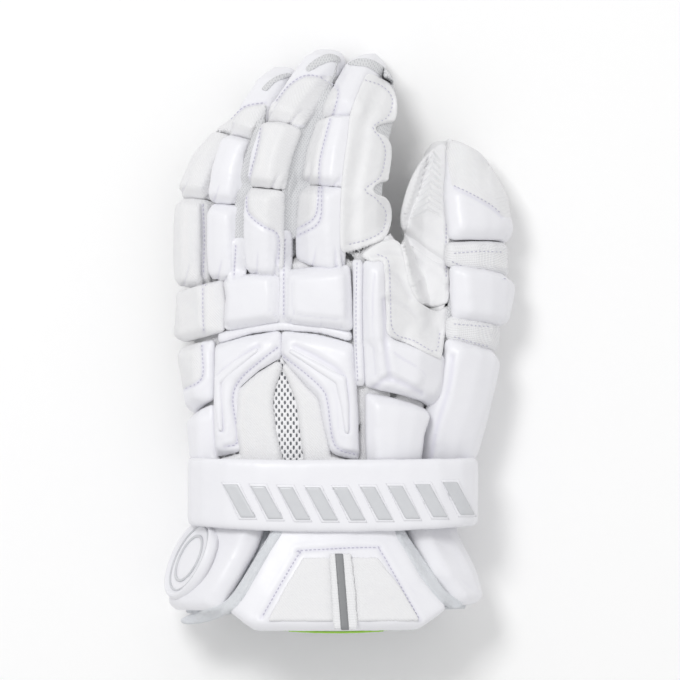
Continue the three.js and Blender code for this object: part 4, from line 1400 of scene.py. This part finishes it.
@dataclass
class SuedePieces:
    """The scalloped wrap on the side of the index finger and the patch in the crotch of the thumb."""

    bench: Bench
    wrap: Pixels = ((367, 74), (379, 77), (388, 82), (394, 91), (397, 101), (397, 112), (394, 121),
                    (385, 123), (376, 127), (377, 132), (386, 137), (391, 146), (391, 160), (389, 173),
                    (387, 181), (379, 183), (373, 189), (376, 194), (386, 198), (391, 208), (391, 222),
                    (387, 235), (380, 241), (368, 246), (355, 250), (343, 252), (340, 244), (340, 218),
                    (341, 190), (344, 160), (347, 140), (350, 115), (358, 92))
    wrap_seam: Pixels = ((366, 80), (381, 85), (391, 95), (392, 106), (387, 117), (373, 127), (380, 138),
                         (385, 150), (383, 168), (378, 179), (365, 190), (376, 199), (385, 211), (385, 222),
                         (381, 232), (366, 240), (346, 245))
    patch: Pixels = ((362, 256), (372, 247), (384, 241), (394, 240), (401, 246), (406, 262), (411, 284),
                     (420, 302), (436, 311), (449, 306), (446, 330), (441, 357), (436, 358), (412, 346),
                     (388, 335), (386, 318), (385, 300), (383, 264), (372, 262))
    patch_seam: Pixels = ((378, 255), (388, 262), (390, 296), (393, 331), (414, 341), (435, 351), (440, 330))
    patch_folds: tuple[Pixels, ...] = (((372, 256), (388, 252), (402, 254)),
                                       ((392, 272), (402, 281), (410, 298)),
                                       ((391, 300), (404, 306), (418, 318)))
    # The corners of the part of the edge that has teeth
    toothed: Pixels = ((343, 262), (384, 238))
    tooth: float = 0.9 * MM
    notch: float = 0.3 * MM

    def build(self) -> None:
        """Lays both pieces and sews them."""
        outline = self.pinked(self.bench.edge(self.wrap))
        carriers = ["index_cap", *finger_pieces("index"), "soft_hand_back", "soft_palm"]
        wrap_seam, patch_seam = (Seam(line, depth=0.35 * MM, width=0.8 * MM)
                                 for line in (self.wrap_seam, self.patch_seam))
        laid(self.bench, "soft_index_side_wrap", outline, carriers, Cloth.SUEDE,
             Laid(thickness=1.3 * MM, rim=0.5 * MM, bridge=26, ripple=0.35 * MM, grain=1.0 * MM),
             stands_for=("index_side_wrap",), seams=(wrap_seam,))
        folds = [Seam(line, depth=0.9 * MM, width=2.0 * MM, sewn=False) for line in self.patch_folds]
        carriers = ("soft_hand_back", "soft_palm", "soft_radial_pad_upper", "soft_thumb_inner",
                    "soft_index_sleeve")
        laid(self.bench, "soft_web_patch", self.bench.edge(self.patch), carriers, Cloth.SUEDE,
             Laid(thickness=1.4 * MM, rim=0.6 * MM, bridge=40, ripple=0.4 * MM),
             stands_for=("web_patch",), seams=[patch_seam, *folds])
        sewn(self.bench, "suede_stitches")

    def pinked(self, outline: np.ndarray) -> np.ndarray:
        """Cuts small teeth into the wrap's lower edge.

        Args:
            outline: The smooth edge in plan.

        Returns:
            The edge with teeth.
        """
        line = resampled(closed(outline), self.tooth)[:-1]
        low, high = self.bench.plan.line(self.toothed)
        chosen = ((line > low) & (line < high)).all(axis=1)
        teeth = np.where(np.arange(len(line)) % 2 == 0, self.tooth, -self.notch)
        line[chosen, 1] -= teeth[chosen]
        return line


@dataclass
class ThumbPads:
    """The thumb's pads, webbing bands and the suede that folds over from the palm."""

    bench: Bench
    lobe: Pixels = ((452, 139), (446, 140), (437, 145), (428, 152), (418, 165), (410, 180), (404, 198),
                    (400, 219), (404, 236), (401, 246), (404, 262), (409, 284), (417, 300), (430, 307),
                    (442, 305), (449, 299), (449, 275), (450, 240), (450, 200), (453, 165))
    lobe_folds: tuple[Pixels, ...] = (((405, 234), (420, 248), (438, 258), (449, 262)),
                                      ((412, 242), (428, 254), (447, 268)))
    cap_seams: tuple[Pixels, ...] = (((455, 186), (470, 193), (490, 204), (502, 214)),)
    tip: Pixels = ((445, 139), (456, 139), (467, 144), (479, 152), (486, 162), (492, 172), (497, 184),
                   (503, 200), (512, 235))
    drop: float = 1.6 * MM
    edge_seam: Pixels = ((447, 148), (449, 165), (447, 200), (446, 240), (446, 280))
    cap_twill: Pixels = ((440, 120), (452, 184), (470, 192), (490, 203), (503, 215), (520, 215), (520, 120))
    base_bend: Pixels = ((452, 356), (449, 385), (436, 430), (430, 460))
    band_seams: tuple[Pixels, ...] = (((453, 262), (480, 274), (509, 279)),
                                      ((455, 253), (480, 251), (509, 252)),
                                      ((455, 324), (480, 326), (500, 327)),
                                      ((455, 337), (475, 343), (495, 348)))
    # The herringbone, in pixels. A pair is the first chevron's value and the change from one to the next.
    chevrons: int = 9
    chevron_top: float = 152
    chevron_step: float = 7
    chevron_middle: tuple[float, float] = (433, -0.7)
    chevron_half: tuple[float, float] = (6, 1.0)
    chevron_fall: float = 8

    def build(self) -> None:
        """Makes the pads, the bands and the suede."""
        large = PadShape(grain=1.1 * MM, rounds=16, back=0.35, puff=1.7 * MM)
        cap_seams = [Seam(line) for line in self.cap_seams]
        self.tapered(stuffed(self.bench, "thumb_cap", Cloth.SMOOTH, large, cap_seams, (self.cap_twill,)))
        stuffed(self.bench, "thumb_pad_mid", Cloth.SMOOTH, large)
        bend = Seam(self.base_bend, depth=0.5 * MM, width=1.6 * MM, sewn=False)
        stuffed(self.bench, "thumb_pad_base", Cloth.SMOOTH, large, [bend])
        band = PadShape(grain=0.8 * MM, rounds=3, puff=2.9 * MM, crown=0.2 * MM, folds=0.1 * MM)
        bands = ("thumb_strap_upper", "thumb_strap_lower")
        for node in bands:
            stuffed(self.bench, node, Cloth.WEBBING, band)
        carriers = tuple("soft_" + node for node in bands)
        for line in self.band_seams:
            self.bench.threads.append((self.bench.plan.line(line), carriers))
        self.suede()
        sewn(self.bench, "thumb_stitches")

    def tapered(self, cap: Piece) -> None:
        """Draws the cap's outer corner down to the tip's outline and its lower edge to the band.

        Args:
            cap: The thumb's cap.
        """
        mesh = SoftMesh(cap)
        edge = self.bench.plan.line(self.tip)
        wanted = np.interp(mesh.points[:, 0], edge[:, 0], edge[:, 1])
        low, high = mesh.points[:, 1].min(), mesh.points[:, 1].max()
        columns = np.round(mesh.points[:, 0] / MM).astype(int)
        columns -= columns.min()
        tops = np.full(columns.max() + 1, low)
        np.maximum.at(tops, columns, mesh.points[:, 1])
        level = np.clip((mesh.points[:, 1] - low) / (high - low), 0, 1)
        mesh.points[:, 1] -= np.clip(tops[columns] - wanted, 0, None) * level ** 3
        mesh.points[:, 1] -= self.drop * (1 - level) ** 2
        mesh.relax(2)
        mesh.write()
        self.bench.note(cap)

    def suede(self) -> None:
        """Lays the suede over the thumb's inner side, with a herringbone pressed into it."""
        lines = []
        for number in range(self.chevrons):
            y = self.chevron_top + number * self.chevron_step
            middle = self.chevron_middle[0] + self.chevron_middle[1] * number
            half = self.chevron_half[0] + self.chevron_half[1] * number
            chevron = [(middle + side * half, y + abs(side) * self.chevron_fall)
                       for side in (-1, -0.5, 0, 0, 0.5, 1)]
            lines.append(Seam(chevron, depth=0.9 * MM, width=0.45 * MM, sewn=False))
        folds = [Seam(line, depth=1.0 * MM, width=2.2 * MM, sewn=False) for line in self.lobe_folds]
        carriers = ("soft_thumb_inner", "soft_web_patch", "soft_thumb_back", "soft_palm")
        laid(self.bench, "thumb_suede", self.bench.edge(self.lobe), carriers, Cloth.SUEDE,
             Laid(thickness=1.2 * MM, rim=1.0 * MM, bridge=40, ripple=0.4 * MM, grain=0.6 * MM),
             seams=[*lines, *folds, Seam(self.edge_seam, depth=0.3 * MM, width=0.7 * MM)])


@dataclass
class WristStrap:
    """The broad padded strap, which bows towards the cuff, with a raised row of slanted bars."""

    bench: Bench
    bow: float = 3.2 * MM
    share_above: float = 0.3
    # The bars, in pixels, and how far their row sags towards the middle of the strap
    bars: int = 9
    span: tuple[float, float] = (226.0, 472.0)
    rows: tuple[float, float] = (480.0, 513.0)
    slant: float = 9.0
    sag: float = 7.0
    middle: float = 333.0
    half_span: float = 145.0
    bar_share: float = 0.27
    base_grow: tuple[float, float] = (1.76, 2.2)

    def build(self) -> None:
        """Makes the strap and its bars."""
        shape = PadShape(grain=1.2 * MM, rounds=19, back=0.35, crown=0.6 * MM)
        strap = stuffed(self.bench, "wrist_strap", Cloth.SMOOTH, shape)
        mesh = SoftMesh(strap)
        low, high = mesh.points.min(axis=0), mesh.points.max(axis=0)
        side = (2 * mesh.points[:, 0] - low[0] - high[0]) / (high[0] - low[0])
        level = (high[1] - mesh.points[:, 1]) / (high[1] - low[1])
        above = np.clip(mesh.points[:, 2] / high[2], 0, 1)
        drop = self.bow * (1 - side ** 2) * (self.share_above + (1 - self.share_above) * level) * above
        mesh.points[:, 1] -= drop
        mesh.write()
        self.bench.note(strap)
        self.trim()

    def trim(self) -> None:
        """Lays the bars, each with a white base under a silver face."""
        start, end = self.span
        pitch = (end - start) / self.bars
        faces, bases = [], []
        for number in range(self.bars):
            middle = start + (number + 0.5) * pitch
            sag = self.sag * (1 - ((middle - self.middle) / self.half_span) ** 2)
            for (wider, taller), store in (((0.0, 0.0), faces), (self.base_grow, bases)):
                half = pitch * self.bar_share + wider
                top, bottom = self.rows[0] + sag - taller, self.rows[1] + sag + taller
                store.append(self.bench.plan.line((
                    (middle - half - self.slant, top), (middle + half - self.slant, top),
                    (middle + half + self.slant, bottom), (middle - half + self.slant, bottom))))
        joined(self.bench, "strap_bar_bases", bases, ("soft_wrist_strap",), Cloth.SMOOTH, 0.5 * MM, ())
        joined(self.bench, "soft_strap_trim", faces, ("strap_bar_bases",), Cloth.TRIM, 0.5 * MM,
               ("strap_trim",))


def joined(bench: Bench, name: str, outlines: Sequence[np.ndarray], carriers: Sequence[str], cloth: Cloth,
           thickness: float, stands_for: Sequence[str]) -> Piece:
    """Lays several small moulded shapes and joins them into one piece.

    Args:
        bench: What the sub-assemblies share.
        name: The piece's name.
        outlines: The edge of each shape in plan.
        carriers: The pieces that they lie on.
        cloth: What they are made of.
        thickness: How far they stand up.
        stands_for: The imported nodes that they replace.

    Returns:
        The joined piece.
    """
    how = Laid(thickness=thickness, lift=0.05 * MM, rim=0.45 * MM, grain=0.9 * MM, bridge=4, ripple=0.0)
    points, faces = [], []
    for number, outline in enumerate(outlines):
        part = laid(bench, f"{name}_{number}", outline, carriers, cloth, how)
        own, own_faces = bench.surfaces.pop(part.name)
        start = sum(map(len, points))
        faces.extend(tuple(vertex + start for vertex in face) for face in own_faces)
        points.append(own)
        mesh = part.data
        bpy.data.objects.remove(part)
        bpy.data.meshes.remove(mesh)
    obj = mesh_object(name, np.vstack(points), faces)
    bench.keep(obj, cloth, *stands_for)
    return obj


@dataclass
class Cuff:
    """The flared flaps behind the strap, with their fleece, badge, inset and webbing loop."""

    bench: Bench
    fleece: tuple[tuple[str, Pixels], ...] = (
        ("left", ((280, 524), (283, 532), (270, 553), (257, 576), (244, 598), (232, 611), (212, 621),
                  (188, 625), (181, 620), (200, 611), (220, 604), (232, 594), (246, 573), (260, 550),
                  (272, 531))),
        ("right", ((396, 528), (402, 527), (414, 545), (430, 568), (445, 590), (462, 603), (458, 609),
                   (446, 606), (432, 592), (418, 572), (404, 549), (396, 536))))
    lime: Pixels = ((258, 628), (300, 631), (335, 632), (372, 631), (404, 628))
    inset_seam: Pixels = ((300, 552), (303, 550), (372, 547), (381, 552), (400, 585), (420, 620))
    inset_seam_left: Pixels = ((300, 552), (286, 575), (262, 617))
    stripe: Pixels = ((335, 553), (343, 553), (349, 629), (341, 629))
    disc: Pixels = ((0.0, 0.50), (0.25, 0.48), (0.55, 0.40), (0.80, 0.35), (0.86, 0.50), (0.90, 0.85),
                    (0.94, 0.95), (0.98, 0.75), (1.0, 0.1), (1.0, -1.0), (0.0, -1.0))
    rings: tuple[Pixels, ...] = (((0.77, 0.30), (0.78, 0.55), (0.80, 0.62), (0.82, 0.55), (0.83, 0.30)),
                                 ((0.52, 0.35), (0.53, 0.62), (0.56, 0.70), (0.59, 0.62), (0.60, 0.35)))

    def build(self) -> None:
        """Makes the flaps, the linings and the trims."""
        large = PadShape(grain=1.15 * MM, rounds=26, back=0.35, crown=0.8 * MM, folds=0.4 * MM,
                         fold_size=20 * MM)
        inset = [Seam(line, depth=0.5 * MM) for line in (self.inset_seam, self.inset_seam_left)]
        for node, seams in (("cuff_flap_left", ()), ("cuff_flap_centre", inset), ("cuff_flap_right", ())):
            stuffed(self.bench, node, Cloth.SMOOTH, large, seams)
        fleece = PadShape(grain=1.2 * MM, rounds=4, puff=0.3 * MM, crown=0.0, folds=0.3 * MM,
                          fold_size=3 * MM, fill=0.5)
        for side in ("left", "centre", "right"):
            stuffed(self.bench, "cuff_lining_" + side, Cloth.FLEECE, fleece)
        thin = PadShape(grain=0.8 * MM, rounds=3, puff=0.15 * MM, crown=0.0, folds=0.1 * MM, fill=0.3)
        stuffed(self.bench, "cuff_inset", Cloth.TWILL, thin)
        stuffed(self.bench, "cuff_webbing", Cloth.WEBBING, thin)
        plan = self.bench.plan
        laid(self.bench, "webbing_stripe", plan.line(self.stripe), ("soft_cuff_webbing",), Cloth.TRIM,
             Laid(thickness=0.35 * MM, rim=0.3 * MM, grain=0.8 * MM, bridge=6, ripple=0.0),
             finish=REFLECTIVE)
        strip = Laid(thickness=1.6 * MM, rim=0.8 * MM, bridge=40, grain=0.9 * MM, lift=-0.7 * MM,
                     ripple=0.6 * MM)
        for side, outline in self.fleece:
            carriers = ("soft_cuff_lining_" + side, "soft_cuff_lining_centre", "soft_cuff_flap_centre",
                        "soft_cuff_flap_" + side)
            laid(self.bench, "fleece_strip_" + side, self.bench.edge(outline), carriers, Cloth.FLEECE, strip)
        rolled(self.bench, "lining_edge", curved(plan.line(self.lime)), ("soft_cuff_lining_centre",),
               Cloth.KNIT, 0.6 * MM, 0.4 * MM, LIME)
        self.badge()
        sewn(self.bench, "cuff_stitches")

    def badge(self) -> None:
        """Turns the round badge, a dished disc with plain rings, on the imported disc's own plane."""
        node = self.bench.nodes["cuff_badge"]
        points = np.array([tuple(vertex.co) for vertex in node.data.vertices])
        middle = points.mean(axis=0)
        _, _, axes = np.linalg.svd(points - middle, full_matrices=False)
        normal = axes[2] * np.sign(axes[2][2])
        places = (points - middle) @ axes.T
        reach = np.abs(places[:, :2]).max(axis=0)
        top = np.abs(places[:, 2]).max()
        frame = (middle, axes[0] * reach[0], axes[1] * reach[1], normal * top)
        self.bench.keep(turned("soft_cuff_badge", frame, (self.disc,)), Cloth.SMOOTH, "cuff_badge")
        self.bench.keep(turned("badge_rings", frame, self.rings), Cloth.TRIM)


def turned(name: str, frame: Sequence[np.ndarray], profiles: Sequence[Pixels],
           sides: int = 72) -> Piece:
    """Turns closed profiles round an axis.

    Args:
        name: The piece's name.
        frame: The middle, the two half widths and the half height, as vectors.
        profiles: Each profile's points, as shares of the radius and of the height.
        sides: Steps round the axis.

    Returns:
        The turned piece.
    """
    middle, across, along, up = frame
    points, faces = [], []
    for profile in profiles:
        start, count = len(points), len(profile)
        for outward in around(across, along, sides):
            points.extend(middle + radius * outward + height * up for radius, height in profile)
        for step in range(sides):
            here, beside = start + step * count, start + (step + 1) % sides * count
            for number in range(count):
                after = (number + 1) % count
                faces.append((here + number, beside + number, beside + after, here + after))
    obj = mesh_object(name, np.array(points), faces)
    work = bmesh.new()
    work.from_mesh(obj.data)
    bmesh.ops.remove_doubles(work, verts=work.verts, dist=1e-6)
    bmesh.ops.dissolve_degenerate(work, edges=work.edges, dist=1e-7)
    bmesh.ops.recalc_face_normals(work, faces=work.faces)
    work.to_mesh(obj.data)
    work.free()
    obj.data.polygons.foreach_set("use_smooth", np.ones(len(obj.data.polygons), bool))
    return obj


@dataclass(frozen=True)
class Studio:
    """The pale floor, the soft light and the camera straight above."""

    plan: PhotoPlan
    distance: float = 8.0
    picture: int = 680
    sensor: float = 36.0
    middle: tuple[float, float] = (340.0, 340.0)
    focus_height: float = 0.05
    floor_half: float = 3.0
    floor_gap: float = 0.3 * MM
    sky: float = 0.66
    lights: tuple[tuple[str, tuple[float, float, float], float, float], ...] = (
        ("key", (-0.5, 0.7, 1.9), 0.5, 15), ("fill", (0.9, -0.4, 1.4), 1.6, 2))

    def build(self) -> None:
        """Makes the floor, the lights and the camera."""
        corners = self.floor_half * np.array([[-1, -1, 0], [1, -1, 0], [1, 1, 0], [-1, 1, 0]])
        floor = mesh_object("floor", corners - UP * self.floor_gap, [(0, 1, 2, 3)])
        material = bpy.data.materials.new("floor_paper")
        material.use_nodes = True
        surface = material.node_tree.nodes["Principled BSDF"]
        surface.inputs["Base Color"].default_value = (0.98, 0.98, 0.98, 1)
        surface.inputs["Roughness"].default_value = 0.9
        floor.data.materials.append(material)
        floor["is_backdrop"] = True
        world = bpy.data.worlds.new("studio")
        world.use_nodes = True
        background = world.node_tree.nodes["Background"]
        background.inputs["Color"].default_value = (1, 1, 1, 1)
        background.inputs["Strength"].default_value = self.sky
        bpy.context.scene.world = world
        for name, place, size, power in self.lights:
            self.light(name, place, size, power)
        bpy.context.scene.view_settings.view_transform = "Standard"
        camera = bpy.data.cameras.new("camera")
        camera.sensor_width = self.sensor
        width = self.picture * self.plan.scale()[0]
        camera.lens = self.sensor * (self.distance - self.focus_height) / width
        camera.clip_end = 50
        rig = link(bpy.data.objects.new("camera", camera))
        x, y = self.plan.line([self.middle])[0]
        rig.location = (x, y, self.distance)
        bpy.context.scene.camera = rig

    def light(self, name: str, place: tuple[float, float, float], size: float, power: float) -> None:
        """Hangs a soft light that looks at the glove.

        Args:
            name: The light's name.
            place: Where it hangs.
            size: The width of its face.
            power: Its power in watts.
        """
        data = bpy.data.lights.new(name, "AREA")
        data.size = size
        data.energy = power
        obj = link(bpy.data.objects.new(name, data))
        obj.location = place
        obj.rotation_euler = (-Vector(place)).to_track_quat("-Z", "Y").to_euler()


def main() -> None:
    """Builds the glove and the studio."""
    logging.basicConfig(level=logging.INFO, format="%(message)s")
    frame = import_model()
    cad_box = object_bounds()
    bench = Bench(frame["nodes"], PhotoPlan(Vector(cad_box[0]), Vector(cad_box[1])))
    for part in (Shell, FingerPads, HandPads, Vent, SuedePieces, ThumbPads, WristStrap, Cuff):
        part(bench).build()
        LOG.info("%s done", part.__name__)
    Studio(bench.plan).build()


if __name__ == "__main__":
    main()
